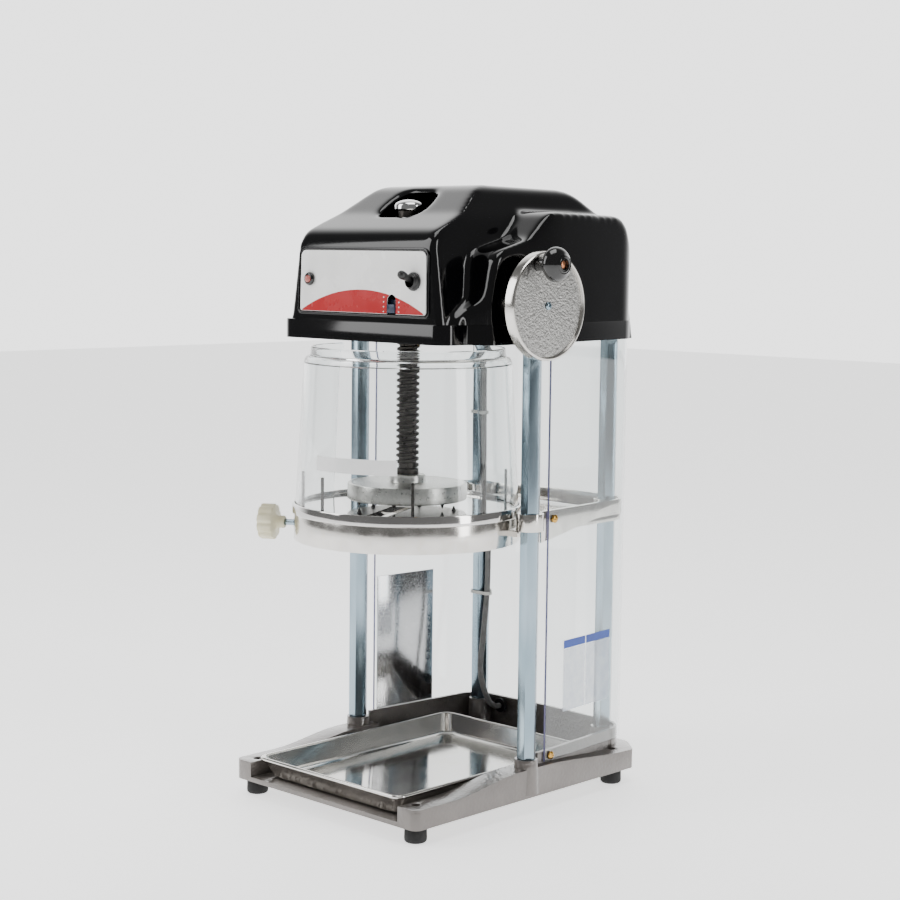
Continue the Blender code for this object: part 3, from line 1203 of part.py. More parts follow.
def build_handwheel(axle, surfaces):
    face = WHEEL_FACE_X
    back = face - WHEEL_THICKNESS
    dish = face - WHEEL_RECESS
    bore = WHEEL_SHAFT_RADIUS + GAP
    tap = 0.002 + GAP
    seat = dish - 0.004 + GAP
    profile = [(bore, HUB_START), (0.010, HUB_START), (0.0115, back + 0.003),
               (WHEEL_RADIUS - 0.004, back + 0.003), (WHEEL_RADIUS - 0.003, back),
               (WHEEL_RADIUS - 0.001, back), (WHEEL_RADIUS, back + 0.001),
               (WHEEL_RADIUS, face - 0.001), (WHEEL_RADIUS - 0.001, face),
               (WHEEL_RADIUS - 0.0025, face),
               (WHEEL_RADIUS - 0.0035, dish), (tap, dish), (tap, seat), (bore, seat)]
    wheel = turned("wheel", profile, 30)
    turn = radians(CRANK_ANGLE)
    pin = turned("pin", tube_profile(0, 0.003, dish - 0.001, dish + KNOB_NECK + KNOB_HEAD - 0.004), 14)
    wheel = join(wheel, shift(pin, -CRANK_RADIUS * sin(turn), CRANK_RADIUS * cos(turn)))
    part("handwheel", aim(wheel, (1, 0, 0)), surfaces["cast"], axle)
    screw = [(0, dish - 0.0038), (0.002, dish - 0.0038), (0.002, dish + GAP), (0.0045, dish + GAP),
             (0.0040, dish + 0.0016), (0.0025, dish + 0.0024), (0, dish + 0.0024)]
    part("wheel_screw", aim(turned("screw", screw, 12), (1, 0, 0)), surfaces["zinc"], axle)
    crank = (dish + RUNNING_GAP, CRANK_RADIUS * cos(turn), CRANK_RADIUS * sin(turn))
    knob_axis = frame_empty("knob_axis", crank, parent=axle)
    hole = 0.003 + RUNNING_GAP
    neck = KNOB_NECK
    profile = [(hole, 0), (KNOB_NECK_RADIUS, 0), (KNOB_NECK_RADIUS - 0.0008, neck * 0.7),
               (KNOB_RADIUS - 0.002, neck), (KNOB_RADIUS, neck + 0.003)]
    profile += [(KNOB_RADIUS * cos(radians(t)), neck + 0.004 + (KNOB_HEAD - 0.004) * sin(radians(t)))
                for t in (15, 35, 55)]
    profile += [(0.0055, neck + KNOB_HEAD - 0.0004), (0, neck + KNOB_HEAD), (0, neck + KNOB_HEAD - 0.003),
                (hole, neck + KNOB_HEAD - 0.003)]
    knob = turned("knob", profile, 16)
    part("crank_knob", aim(knob, (1, 0, 0)), surfaces["black"], knob_axis)


# Cord

def smooth_route(points, count):
    """A soft curve through hand-placed points, read at equal steps."""
    knots = [Vector(point) for point in points]
    knots = [knots[0] * 2 - knots[1]] + knots + [knots[-1] * 2 - knots[-2]]
    fine = []
    for i in range(1, len(knots) - 2):
        a, b, c, d = knots[i - 1:i + 3]
        for k in range(24):
            t = k / 24
            fine.append(0.5 * (2 * b + (c - a) * t + (2 * a - 5 * b + 4 * c - d) * t * t
                               + (3 * b - a - 3 * c + d) * t ** 3))
    fine.append(knots[-2])
    lengths = [0.0]
    for a, b in zip(fine, fine[1:]):
        lengths.append(lengths[-1] + (b - a).length)
    route = []
    j = 0
    for k in range(count):
        goal = lengths[-1] * k / (count - 1)
        while j < len(fine) - 2 and lengths[j + 1] < goal:
            j += 1
        share = (goal - lengths[j]) / max(lengths[j + 1] - lengths[j], 1e-9)
        route.append(fine[j].lerp(fine[j + 1], min(share, 1.0)))
    return route


def length_of(route):
    return sum((b - a).length for a, b in zip(route, route[1:]))


def tube(name, route, radius, resolution, surface, frame):
    """A round tube along a route, with filled ends."""
    curve = bpy.data.curves.new(name, "CURVE")
    curve.dimensions = "3D"
    spline = curve.splines.new("POLY")
    spline.points.add(len(route) - 1)
    for point, place in zip(spline.points, route):
        point.co = (*place, 1.0)
    curve.bevel_depth = radius
    curve.bevel_resolution = resolution
    curve.use_fill_caps = True
    curve.materials.append(surface)
    made = bpy.data.objects.new(name, curve)
    made.parent = frame
    bpy.context.scene.collection.objects.link(made)
    return made


def coil_route():
    """Loops that spiral in and out again, layer by layer, from the top down to the floor."""
    layers = COIL_LAYERS
    low = CORD_RADIUS + GAP
    route = []
    inner = COIL_LOOP_RADIUS - COIL_PITCH * COIL_LOOPS
    angle = 0.0
    for layer in range(layers):
        turns = COIL_LOOPS if layer < layers - 1 else COIL_LOOPS - 0.5
        height = low + COIL_RISE * (layers - 1 - layer)
        inwards = layer % 2 == 0
        steps = int(turns * 24)
        for k in range(steps):
            share = k / steps
            radius = COIL_LOOP_RADIUS - (COIL_LOOP_RADIUS - inner) * (share if inwards else 1 - share)
            route.append((radius, angle + 360 * turns * share, height))
        angle += 360 * turns
        edge = inner if inwards else COIL_LOOP_RADIUS
        if layer < layers - 1:
            for k in range(12):
                share = k / 12
                route.append((edge, angle + 180 * share, height - COIL_RISE * share))
            angle += 180
        else:
            route.append((edge, angle, height))
    points = [Vector((COIL_X - r * cos(radians(a)), COIL_Y + r * sin(radians(a)), z))
              for r, a, z in route]
    lead_in = points[0] - Vector((0, CORD_RADIUS * 2, 0))
    last = points[-1]
    bend = arc((last.x - TAIL_BEND, last.y + 0.004), TAIL_BEND, 0, 90, 6)
    tail = [Vector((x, y, last.z)) for x, y in bend]
    tail.append(tail[-1] - Vector((CORD_RADIUS * 2, 0, 0)))
    return [lead_in] + points + tail


def least_gap(route, radius):
    """Smallest clear distance between parts of a coil that aren't next to each other."""
    step = length_of(route) / (len(route) - 1)
    skip = int(radius * 6 / step) + 3
    best = 1.0
    for i in range(len(route)):
        for j in range(i + skip, len(route)):
            best = min(best, (route[i] - route[j]).length - 2 * radius)
    return best


def build_cord(frame, surfaces):
    rear = min(back_path(0), key=lambda point: abs(point[0] - GLAND_X) + (point[1] < 0.1))[1]
    inner_face = rear - RIM_WALL
    outer_face = rear + GAP + COVER_SHEET
    flange = 0.003
    body = [(0, -flange - GAP), (0.0075, -flange - GAP), (0.0075, -GAP * 2), (GLAND_BORE - GAP, -GAP * 2),
            (GLAND_BORE - GAP, outer_face - inner_face + 0.003), (0.0045, outer_face - inner_face + 0.005),
            (0, outer_face - inner_face + 0.005)]
    gland = part("cord_gland", aim(turned("gland", body, 16), (0, 1, 0)), surfaces["black"], frame)
    gland.location = (GLAND_X, inner_face, GLAND_Z)
    gland_in = inner_face - flange - GAP * 2
    gland_out = outer_face + 0.005 + GAP
    lead = [(CORD_X, CORD_Y, HEAD_BOTTOM + CHASSIS_THICKNESS - 0.001), (CORD_X, CORD_Y, 0.40),
            (CORD_X, CORD_Y, 0.30), (CORD_X, CORD_Y, 0.20), (CORD_X, CORD_Y - 0.001, TIE_HEIGHTS[1]),
            (CORD_X + 0.0005, CORD_Y - 0.006, 0.125), (CORD_X + 0.002, CORD_Y - 0.012, 0.085),
            (GLAND_X - 0.001, gland_in - 0.017, 0.053), (GLAND_X, gland_in - CORD_RADIUS * 2, GLAND_Z)]
    lead_route = smooth_route(lead, 20) + [Vector((GLAND_X, gland_in, GLAND_Z))]
    tube("cord_lead", lead_route, CORD_RADIUS, 1, surfaces["cord"], frame)
    for name, height in zip(("upper", "lower"), TIE_HEIGHTS):
        near = min(lead_route, key=lambda point: abs(point.z - height))
        band = cut(prism("band", tie_outline(near, TIE_SHEET), height - TIE_HALF, height + TIE_HALF),
                   prism("core", tie_outline(near, 0.0), height - 0.01, height + 0.01))
        part("cable_tie_" + name, band, surfaces["tie"], frame, smooth=False)

    coil = coil_route()
    start = coil[0] + Vector((0, -GAP, 0))
    leave = Vector((GLAND_X, gland_out, GLAND_Z))
    straight = Vector((0, CORD_RADIUS * 2, 0))
    free_route = smooth_route([leave + straight, (leave + start) / 2, start - straight], 10)
    free_route = [leave] + free_route + [start]
    tube("cord_free", free_route, CORD_RADIUS, 1, surfaces["cord"], frame)
    tube("cord_coil", coil, CORD_RADIUS, 1, surfaces["cord"], frame)
    end = coil[-1] - Vector((GAP, 0, 0))
    half = PLUG_WIDTH / 2
    far = end.x - PLUG_LENGTH
    plug = block("plug", (far, end.y - half, GAP), (end.x - 0.005, end.y + half, PLUG_HEIGHT))
    nose = aim(turned("nose", tube_profile(0, CORD_RADIUS, 0, 0.007), 12), (-1, 0, 0))
    plug = join(plug, shift(nose, end.x, end.y, end.z))
    for side in (-1, 1):
        y = end.y + side * BLADE_SPACING / 2
        pin = block("pin", (far - BLADE_LENGTH, y - 0.00075, PLUG_HEIGHT / 2 - 0.003),
                    (far + 0.001, y + 0.00075, PLUG_HEIGHT / 2 + 0.003))
        plug = join(plug, pin)
    part("plug", plug, surfaces["cord"], frame, smooth=False)
    total = length_of(free_route) + length_of(coil)
    print("free cord %.3f m, held lead %.3f m, coil's least gap %.2f mm"
          % (total, length_of(lead_route), least_gap(coil, CORD_RADIUS) * 1000))


def convex(points):
    """Convex outline round a set of points, run anticlockwise."""
    ordered = sorted(points)
    outline = []
    for run in (ordered, ordered[::-1]):
        start = len(outline)
        for point in run:
            while len(outline) >= start + 2:
                (ax, ay), (bx, by) = outline[-2:]
                if (bx - ax) * (point[1] - ay) - (by - ay) * (point[0] - ax) > 1e-12:
                    break
                outline.pop()
            outline.append(point)
        outline.pop()
    return outline


def tie_outline(cord, outset):
    """Outline of a strap round the left rear column and the cord beside it."""
    column = moved(hexagon(COLUMN_FLATS + GAP * 2, COLUMN_TURN), -COLUMN_REAR_X, COLUMN_REAR_Y)
    ring = arc((cord.x, cord.y), CORD_RADIUS * 1.09 + GAP * 2, 22.5, 337.5, 7)
    return closed_inset(convex(column + ring), -outset)


def build():
    clear_scene()
    surfaces = {
        "base": material("hammered_grey_paint", "8A8681", 0.35, 0.3),
        "rubber": material("black_rubber", "141414", 0.8),
        "zinc": material("zinc_plated_steel", "A9B4B8", 0.3, 1.0),
        "steel_bright": material("polished_stainless", "C9C6C0", 0.15, 1.0),
        "steel_dark": material("oiled_steel", "4C4A45", 0.4, 1.0),
        "cast": material("machined_aluminium", "C6C4BE", 0.3, 1.0),
        "blade": material("tool_steel", "B0AEA8", 0.2, 1.0),
        "brass": material("brass", "B98F4A", 0.3, 1.0),
        "cream": material("cream_plastic", "D9D3B4", 0.5),
        "clear": material("clear_plastic", "EEF2F2", 0.05, 0.0, 0.25),
        "mirror": material("bright_film", "D8D8D8", 0.08, 1.0),
        "chrome": material("chrome", "D6D6D6", 0.06, 1.0),
        "black": material("gloss_black_plastic", "08080A", 0.15),
        "panel": material("printed_panel", "EFEFED", 0.4),
        "lamp": material("red_lens", "B03A32", 0.2),
        "blue": material("dark_blue_plastic", "1A2A3C", 0.4),
        "motor": material("motor_enamel", "3A4146", 0.45),
        "cord": material("grey_cord", "7C7C7A", 0.6),
        "tie": material("white_nylon", "E6E6E2", 0.5),
    }
    frame = frame_empty("machine", (MACHINE_X, MACHINE_Y, 0))
    build_base(frame, surfaces)
    build_columns(frame, surfaces)
    build_tray(frame, surfaces)
    build_table(frame, surfaces)
    build_blade_table(frame, surfaces)
    build_blade(frame, surfaces)
    build_adjuster(frame, surfaces)
    build_case(frame, surfaces)
    build_cover(frame, surfaces)
    build_film(frame, surfaces)
    build_spindle(frame, surfaces)
    build_head(frame, surfaces)
    build_controls(frame, surfaces)
    axle = build_lift_drive(frame, surfaces)
    build_screw_drive(frame, surfaces)
    build_handwheel(axle, surfaces)
    build_cord(frame, surfaces)
    print("machine frame at x %.5f, y %.5f; idler at x %.5f" % (MACHINE_X, MACHINE_Y, idler_x()))


build()
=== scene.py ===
# %% [markdown]
# # Block ice shaver
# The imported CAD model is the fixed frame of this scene. It already holds every part at its real
# place and size. Here each visible part gets a finer mesh or a better surface, and rides on the
# CAD body that carries it, so every joint still works.

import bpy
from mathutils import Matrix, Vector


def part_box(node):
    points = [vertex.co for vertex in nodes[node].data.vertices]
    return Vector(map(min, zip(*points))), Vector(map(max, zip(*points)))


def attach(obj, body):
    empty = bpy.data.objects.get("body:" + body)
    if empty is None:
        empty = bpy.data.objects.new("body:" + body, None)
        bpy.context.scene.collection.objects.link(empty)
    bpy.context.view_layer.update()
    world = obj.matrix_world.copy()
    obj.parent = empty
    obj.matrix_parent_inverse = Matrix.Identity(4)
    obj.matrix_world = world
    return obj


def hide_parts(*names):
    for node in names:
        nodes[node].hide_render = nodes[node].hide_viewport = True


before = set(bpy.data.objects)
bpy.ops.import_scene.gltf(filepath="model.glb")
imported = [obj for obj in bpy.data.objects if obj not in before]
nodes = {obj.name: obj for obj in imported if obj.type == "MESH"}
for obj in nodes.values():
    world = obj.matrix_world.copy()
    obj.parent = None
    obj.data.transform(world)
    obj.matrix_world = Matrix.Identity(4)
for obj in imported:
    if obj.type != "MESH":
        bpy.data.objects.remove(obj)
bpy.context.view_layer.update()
print("nodes in the frame:", len(nodes))

# %% [markdown]
# The parts were laid out round the middle of the base, a little away from the frame's own origin.
# `at` turns a place on the machine into a place in the frame. `pick` selects one object only,
# because an operator acts on everything that is selected. `GAP` is left between pieces that must
# not touch, and `PER_METRE` turns millimetres to metres.

# %% Places and selection
from math import acos, cos, pi, radians, sin, sqrt, tau

import bpy
from mathutils import Matrix, Quaternion, Vector

MACHINE_X = -0.0250687
MACHINE_Y = 0.00325
SCREW_Y = -0.059
GAP = 0.0003
PER_METRE = 1000.0


def at(x, y, z):
    """A place on the machine, in the frame."""
    return Vector((x + MACHINE_X, y + MACHINE_Y, z))


def pick(obj):
    """Selects one object and makes it active."""
    bpy.ops.object.select_all(action="DESELECT")
    obj.select_set(True)
    bpy.context.view_layer.objects.active = obj


screw_foot = at(0, SCREW_Y, 0)
print("the lead screw stands at", [round(v, 4) for v in screw_foot])

# %% [markdown]
# Most parts of the machine are bent sheet, castings with a drawn outline, or turned parts. All
# three start as a line of vertices. A plane is merged to a single vertex, and that vertex is
# extruded from point to point, as a person would with E and a click. The line is then filled and
# extruded into a slab, or spun round an axis like work on a lathe. Vertices nearer than `MERGE`
# become one, and on a turned piece an edge of more than `CREASE` degrees stays crisp.

# %% Drawing, extruding and turning
MERGE = 0.00001
FINE_MERGE = 0.000001
UPRIGHT = 0.999
CREASE = 35


def drawn(name, points, filled=True):
    """A line of vertices through the points, filled as one face if asked."""
    bpy.ops.object.select_all(action="DESELECT")
    bpy.ops.mesh.primitive_plane_add(size=0.01, location=points[0])
    obj = bpy.context.object
    obj.name = name
    obj.data.name = name
    bpy.ops.object.mode_set(mode="EDIT")
    bpy.ops.mesh.merge(type="CENTER")
    for before, point in zip(points, points[1:]):
        step = Vector(point) - Vector(before)
        bpy.ops.mesh.extrude_region_move(TRANSFORM_OT_translate={"value": step})
    bpy.ops.mesh.select_all(action="SELECT")
    if filled:
        bpy.ops.mesh.edge_face_add()
    bpy.ops.object.mode_set(mode="OBJECT")
    bpy.ops.object.transform_apply()
    return obj


def edit_all(obj):
    """Opens an object in edit mode with everything selected."""
    pick(obj)
    bpy.ops.object.mode_set(mode="EDIT")
    bpy.ops.mesh.select_all(action="SELECT")


def close_up(obj, merge=MERGE):
    """Merges vertices that lie on each other and turns every face outwards."""
    edit_all(obj)
    bpy.ops.mesh.remove_doubles(threshold=merge)
    bpy.ops.mesh.normals_make_consistent(inside=False)
    bpy.ops.object.mode_set(mode="OBJECT")
    return obj


def slab(name, points, step):
    """A filled outline extruded by a step."""
    obj = drawn(name, points)
    edit_all(obj)
    bpy.ops.mesh.extrude_region_move(TRANSFORM_OT_translate={"value": Vector(step)})
    bpy.ops.object.mode_set(mode="OBJECT")
    return close_up(obj)


def settle(obj, matrix):
    """Turns and moves an object, and keeps the result in its mesh."""
    obj.matrix_world = matrix
    pick(obj)
    bpy.ops.object.transform_apply()
    return obj


def aimed(axis, place):
    """The matrix that lays a shape built about Z along another axis, at a place."""
    upright = abs(Vector(axis).normalized().z) >= UPRIGHT
    turn = Quaternion() if upright else Vector(axis).to_track_quat("Z", "Y")
    return Matrix.Translation(place) @ turn.to_matrix().to_4x4()


def turned(name, profile, place, axis=(0, 0, 1), steps=72):
    """A profile of (radius, height) points spun round its axis."""
    obj = drawn(name, [(radius, 0, height) for radius, height in profile], filled=False)
    edit_all(obj)
    bpy.ops.mesh.spin(steps=steps, angle=tau, center=(0, 0, 0), axis=(0, 0, 1))
    bpy.ops.object.mode_set(mode="OBJECT")
    close_up(obj)
    return settle(obj, aimed(axis, place))


def drill(name, radius, reach, place, axis, steps=32):
    """A round cutter that reaches both ways from a place."""
    return turned(name, [(0, -reach), (radius, -reach), (radius, reach), (0, reach)], place, axis, steps)


def turned_about(obj, place, degrees):
    """Turns an object along X, about a place."""
    return settle(obj, Matrix.Translation(place) @ Matrix.Rotation(radians(degrees), 4, "X")
                  @ Matrix.Translation(-place))


def shaped(obj, kind, **settings):
    """Adds a modifier, sets it and applies it."""
    modifier = obj.modifiers.new(kind, kind)
    for name, value in settings.items():
        setattr(modifier, name, value)
    pick(obj)
    bpy.ops.object.modifier_apply(modifier=modifier.name)
    return obj


def merged(obj, operation, *tools):
    """Joins or cuts an object with others, which are then deleted."""
    for tool in tools:
        shaped(obj, "BOOLEAN", operation=operation, object=tool, solver="EXACT")
        bpy.data.objects.remove(tool)
    return obj


def smoothed(obj, angle=30):
    """Smooth shading, with edges sharper than the angle kept crisp."""
    pick(obj)
    bpy.ops.object.shade_smooth_by_angle(angle=radians(angle))
    return obj


def eased(obj, width, segments=2, angle=30):
    """Rounds every edge sharper than the angle, as casting and polishing do."""
    shaped(obj, "BEVEL", width=width, segments=segments, limit_method="ANGLE",
           angle_limit=radians(angle), use_clamp_overlap=True)
    return smoothed(obj, angle)


def copy_of(node, name):
    """A loose copy of a CAD part's mesh, merged into one skin, to be worked on."""
    obj = bpy.data.objects.new(name, nodes[node].data.copy())
    obj.data.name = name
    bpy.context.scene.collection.objects.link(obj)
    obj.data.materials.clear()
    return close_up(obj)


def rounded(corners, radii, steps=6):
    """Corners of a flat outline rounded with arcs. Each point is (across, up)."""
    points = []
    for i in range(len(corners)):
        corner = Vector(corners[i])
        before = (Vector(corners[i - 1]) - corner).normalized()
        after = (Vector(corners[(i + 1) % len(corners)]) - corner).normalized()
        radius = radii[i]
        if radius <= 0:
            points.append(tuple(corner))
            continue
        half = acos(max(-1.0, min(1.0, before.dot(after)))) / 2
        middle = corner + (before + after).normalized() * (radius / sin(half))
        start = corner + before * (radius * cos(half) / sin(half)) - middle
        sweep = pi - 2 * half
        if before.x * after.y - before.y * after.x > 0:
            sweep = -sweep
        for k in range(steps + 1):
            turn = sweep * k / steps
            points.append((middle.x + start.x * cos(turn) - start.y * sin(turn),
                           middle.y + start.x * sin(turn) + start.y * cos(turn)))
    return points


# %% [markdown]
# A finish is a material plus the place it goes to. `add` puts one node in a material with its
# settings and links, and `mat` starts a Principled material. `surface` makes the usual finish: two
# close colours, a roughness and a fine relief that all follow one noise pattern. `dress` gives a
# new piece its finish and the body it rides on, and hides the CAD parts it stands for.

# %% Finishes, one node at a time
def linear(colour):
    """An sRGB hex colour as linear red, green, blue and alpha."""
    parts = [int(colour[i:i + 2], 16) / 255 for i in (0, 2, 4)]
    return [p / 12.92 if p <= 0.04045 else ((p + 0.055) / 1.055) ** 2.4 for p in parts] + [1.0]


def add(tree, kind, sockets, stops=(), **settings):
    """One node with its settings and links, and the (place, colour) stops of its ramp if it has one.

    A socket's value is a number, a colour or another socket.
    """
    made = tree.nodes.new(kind)
    for name, value in settings.items():
        setattr(made, name, value)
    for number, (position, colour) in enumerate(stops):
        made.color_ramp.elements[number].position = position
        made.color_ramp.elements[number].color = linear(colour)
    for name, value in sockets.items():
        if isinstance(value, bpy.types.NodeSocket):
            tree.links.new(value, made.inputs[name])
        else:
            made.inputs[name].default_value = value
    return made


def mat(name, roughness, metallic=0.0, **sockets):
    """A Principled material. Sockets with a space in their name are given with an underscore."""
    made = bpy.data.materials.new(name)
    made.use_nodes = True
    shader = made.node_tree.nodes["Principled BSDF"]
    shader.inputs["Roughness"].default_value = roughness
    shader.inputs["Metallic"].default_value = metallic
    for socket, value in sockets.items():
        shader.inputs[socket.replace("_", " ")].default_value = value
    return made, made.node_tree, shader


def surface(name, low, high, grain_mm, rough, height_mm=0.0, metallic=0.0, stretch=(1, 1, 1),
            detail=3.0, ramp=(0.3, 0.7), strength=1.0, **sockets):
    """A finish on one noise pattern with grains of about grain_mm, on the object's coordinates.

    The roughness is a range, or one number where it is even.
    """
    even = isinstance(rough, float)
    made, tree, shader = mat(name, rough if even else rough[0], metallic, **sockets)
    place = add(tree, "ShaderNodeTexCoord", {})
    turn = add(tree, "ShaderNodeMapping", {"Vector": place.outputs["Object"], "Scale": stretch})
    grain = add(tree, "ShaderNodeTexNoise", {"Vector": turn.outputs["Vector"], "Detail": detail,
                                             "Scale": PER_METRE / (grain_mm * 2.0)}).outputs["Fac"]
    tone = add(tree, "ShaderNodeValToRGB", {"Fac": grain}, stops=zip(ramp, (low, high)))
    tree.links.new(tone.outputs["Color"], shader.inputs["Base Color"])
    if not even:
        gloss = add(tree, "ShaderNodeMapRange", {"Value": grain, "From Min": 0.3, "From Max": 0.7,
                                                 "To Min": rough[0], "To Max": rough[1]})
        tree.links.new(gloss.outputs["Result"], shader.inputs["Roughness"])
    if height_mm:
        bump = add(tree, "ShaderNodeBump", {"Height": grain, "Distance": height_mm / PER_METRE,
                                            "Strength": strength})
        tree.links.new(bump.outputs["Normal"], shader.inputs["Normal"])
    return made


def dress(obj, finish, slot, body, *replaced):
    """Gives a new piece its finish and body, and hides the CAD parts it stands for. Its slot is not used."""
    obj.data.materials.clear()
    obj.data.materials.append(finish)
    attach(obj, body)
    if replaced:
        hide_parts(*replaced)
    return obj


def paint(finish, *names):
    """Gives CAD parts that stay visible a better surface."""
    for name in names:
        nodes[name].data.materials.clear()
        nodes[name].data.materials.append(finish)


# %% [markdown]
# The photograph was taken from the right front, a little above the machine, with a long lens. The
# place of the camera was fitted to points that can be measured on the machine: the feet, the
# columns, the disc and the corners of the head.

# %% Camera
CAMERA_PLACE = Vector((1.25713, -1.33565, 0.53130))
CAMERA_TARGET = Vector((-0.02507, 0.00325, 0.33650))
CAMERA_ROLL = 0.66
CAMERA_LENS = 75.83
SENSOR_WIDTH = 36.0
camera_data = bpy.data.cameras.new("camera")
camera_data.lens = CAMERA_LENS
camera_data.sensor_width = SENSOR_WIDTH
camera = bpy.data.objects.new("camera", camera_data)
bpy.context.scene.collection.objects.link(camera)
camera.location = CAMERA_PLACE
aim_turn = (CAMERA_TARGET - CAMERA_PLACE).to_track_quat("-Z", "Y")
camera.rotation_euler = (aim_turn @ Quaternion((0, 0, 1), radians(CAMERA_ROLL))).to_euler()
bpy.context.scene.camera = camera
print("camera at", [round(v, 3) for v in camera.location])

# %% [markdown]
# Plain studio light. Behind the machine the room is a bright white sweep, which shines through
# the clear walls, and it gets darker towards the camera, so that the glossy black head stays
# black. A large softbox stands on the left, a narrow one on the right and a third hangs above.
# The floor is a large pale plane that glows a little, like a lit acrylic table.

# %% Light and floor
FLOOR_SIZE = 14.0
ROOM_BRIGHT = 2.6
ROOM_DARK = 0.22
SWEEP_DIRECTION = (-0.69, 0.72, 0.0)
SWEEP_START = 0.35
SWEEP_END = 0.85
FLOOR_GLOW = 1.3
WHITE = (1.0, 1.0, 1.0, 1.0)
room = bpy.data.worlds.new("studio_room")
room.use_nodes = True
tree = room.node_tree
heading = add(tree, "ShaderNodeTexCoord", {})
facing = add(tree, "ShaderNodeVectorMath", {0: heading.outputs["Generated"], 1: SWEEP_DIRECTION},
             operation="DOT_PRODUCT")
share = add(tree, "ShaderNodeMapRange", {"Value": facing.outputs["Value"],
                                         "From Min": SWEEP_START, "From Max": SWEEP_END,
                                         "To Min": ROOM_DARK, "To Max": ROOM_BRIGHT},
            interpolation_type="SMOOTHSTEP")
tree.nodes["Background"].inputs["Color"].default_value = WHITE
tree.links.new(share.outputs["Result"], tree.nodes["Background"].inputs["Strength"])
bpy.context.scene.world = room


def softbox(name, place, target, width, height, power):
    """A rectangular area light that looks at a point."""
    data = bpy.data.lights.new(name, "AREA")
    data.shape = "RECTANGLE"
    data.size = width
    data.size_y = height
    data.energy = power
    light = bpy.data.objects.new(name, data)
    light.location = place
    light.rotation_euler = (Vector(target) - Vector(place)).to_track_quat("-Z", "Y").to_euler()
    bpy.context.scene.collection.objects.link(light)


softbox("softbox_left", (-1.1, -1.5, 1.3), (0, 0, 0.35), 0.9, 1.5, 21)
softbox("softbox_right", (2.3, 0.5, 0.9), (0, 0, 0.35), 0.5, 1.6, 18)
softbox("softbox_above", (0.2, -0.1, 2.2), (0, 0, 0.3), 1.1, 1.1, 18)

bpy.ops.mesh.primitive_plane_add(size=FLOOR_SIZE, location=(0, 0, 0))
floor = bpy.context.object
floor.name = "floor"
paper = surface("lit_white_acrylic", "F6F6F5", "FAFAFA", 40.0, 0.7, Emission_Color=WHITE,
                Emission_Strength=FLOOR_GLOW)
floor.data.materials.append(paper)
print("lights and floor made")

# %% [markdown]
# The mains cord is a round grey PVC flex, 6 mm thick. Inside the machine it is held by two
# nylon ties along the left rear column. Outside it runs from the black gland to a coil that lies
# on the ground behind the base. A curve with a round bevel is the plain way to make a cord: only
# its centre line has to be drawn. The line repeats the route of the CAD cord, so both agree.

# %% Cord routes
CORD_RADIUS = 0.0030
CORD_X = -0.0712
CORD_Y = 0.1350
GLAND_X = -0.063
GLAND_Z = 0.0445
GLAND_INSIDE = 0.14745
GLAND_OUTSIDE = 0.16265
COIL_LOOP_RADIUS = 0.047
COIL_PITCH = 0.0074
COIL_RISE = 0.0068
COIL_LOOPS = 3
COIL_X = -0.035
COIL_Y = 0.227
COIL_STEPS = 24
COIL_REST = CORD_RADIUS + GAP
TAIL_BEND = 0.024
TAIL_START = 0.004
KNOT_STEPS = 24
TIE_HEIGHTS = (0.362, 0.168)


def soft_line(points, count):
    """A soft curve through given points, read at equal steps."""
    knots = [Vector(point) for point in points]
    knots = [knots[0] * 2 - knots[1]] + knots + [knots[-1] * 2 - knots[-2]]
    fine = []
    for i in range(1, len(knots) - 2):
        a, b, c, d = knots[i - 1:i + 3]
        for k in range(KNOT_STEPS):
            t = k / KNOT_STEPS
            fine.append(0.5 * (2 * b + (c - a) * t + (2 * a - 5 * b + 4 * c - d) * t * t
                               + (3 * b - a - 3 * c + d) * t ** 3))
    fine.append(knots[-2])
    lengths = [0.0]
    for a, b in zip(fine, fine[1:]):
        lengths.append(lengths[-1] + (b - a).length)
    line = []
    j = 0
    for k in range(count):
        goal = lengths[-1] * k / (count - 1)
        while j < len(fine) - 2 and lengths[j + 1] < goal:
            j += 1
        share = (goal - lengths[j]) / max(lengths[j + 1] - lengths[j], 1e-9)
        line.append(fine[j].lerp(fine[j + 1], min(share, 1.0)))
    return line


def coil_line():
    """Two flat layers of loops: inwards on the upper one, outwards on the floor, and a tail."""
    inner = COIL_LOOP_RADIUS - COIL_PITCH * COIL_LOOPS
    turns_low = COIL_LOOPS - 0.5
    polar = []
    for k in range(COIL_LOOPS * COIL_STEPS):
        share = k / (COIL_LOOPS * COIL_STEPS)
        polar.append((COIL_LOOP_RADIUS - (COIL_LOOP_RADIUS - inner) * share,
                      360 * COIL_LOOPS * share, COIL_REST + COIL_RISE))
    for k in range(COIL_STEPS // 2):
        share = k / (COIL_STEPS // 2)
        polar.append((inner, 360 * COIL_LOOPS + 180 * share, COIL_REST + COIL_RISE * (1 - share)))
    start = 360 * COIL_LOOPS + 180
    for k in range(int(turns_low * COIL_STEPS) + 1):
        share = k / (turns_low * COIL_STEPS)
        polar.append((inner + (COIL_LOOP_RADIUS - inner) * share, start + 360 * turns_low * share,
                      COIL_REST))
    points = [at(COIL_X - r * cos(radians(a)), COIL_Y + r * sin(radians(a)), z) for r, a, z in polar]
    last = points[-1]
    bend = [Vector((last.x - TAIL_BEND * (1 - cos(radians(a))),
                    last.y + TAIL_START + TAIL_BEND * sin(radians(a)), last.z))
            for a in range(0, 91, 15)]
    lead_in = points[0] - Vector((0, CORD_RADIUS * 2, 0))
    return [lead_in] + points + bend + [bend[-1] - Vector((CORD_RADIUS * 2, 0, 0))]


def length_of(line):
    """How long a line of points is."""
    return sum((b - a).length for a, b in zip(line, line[1:]))


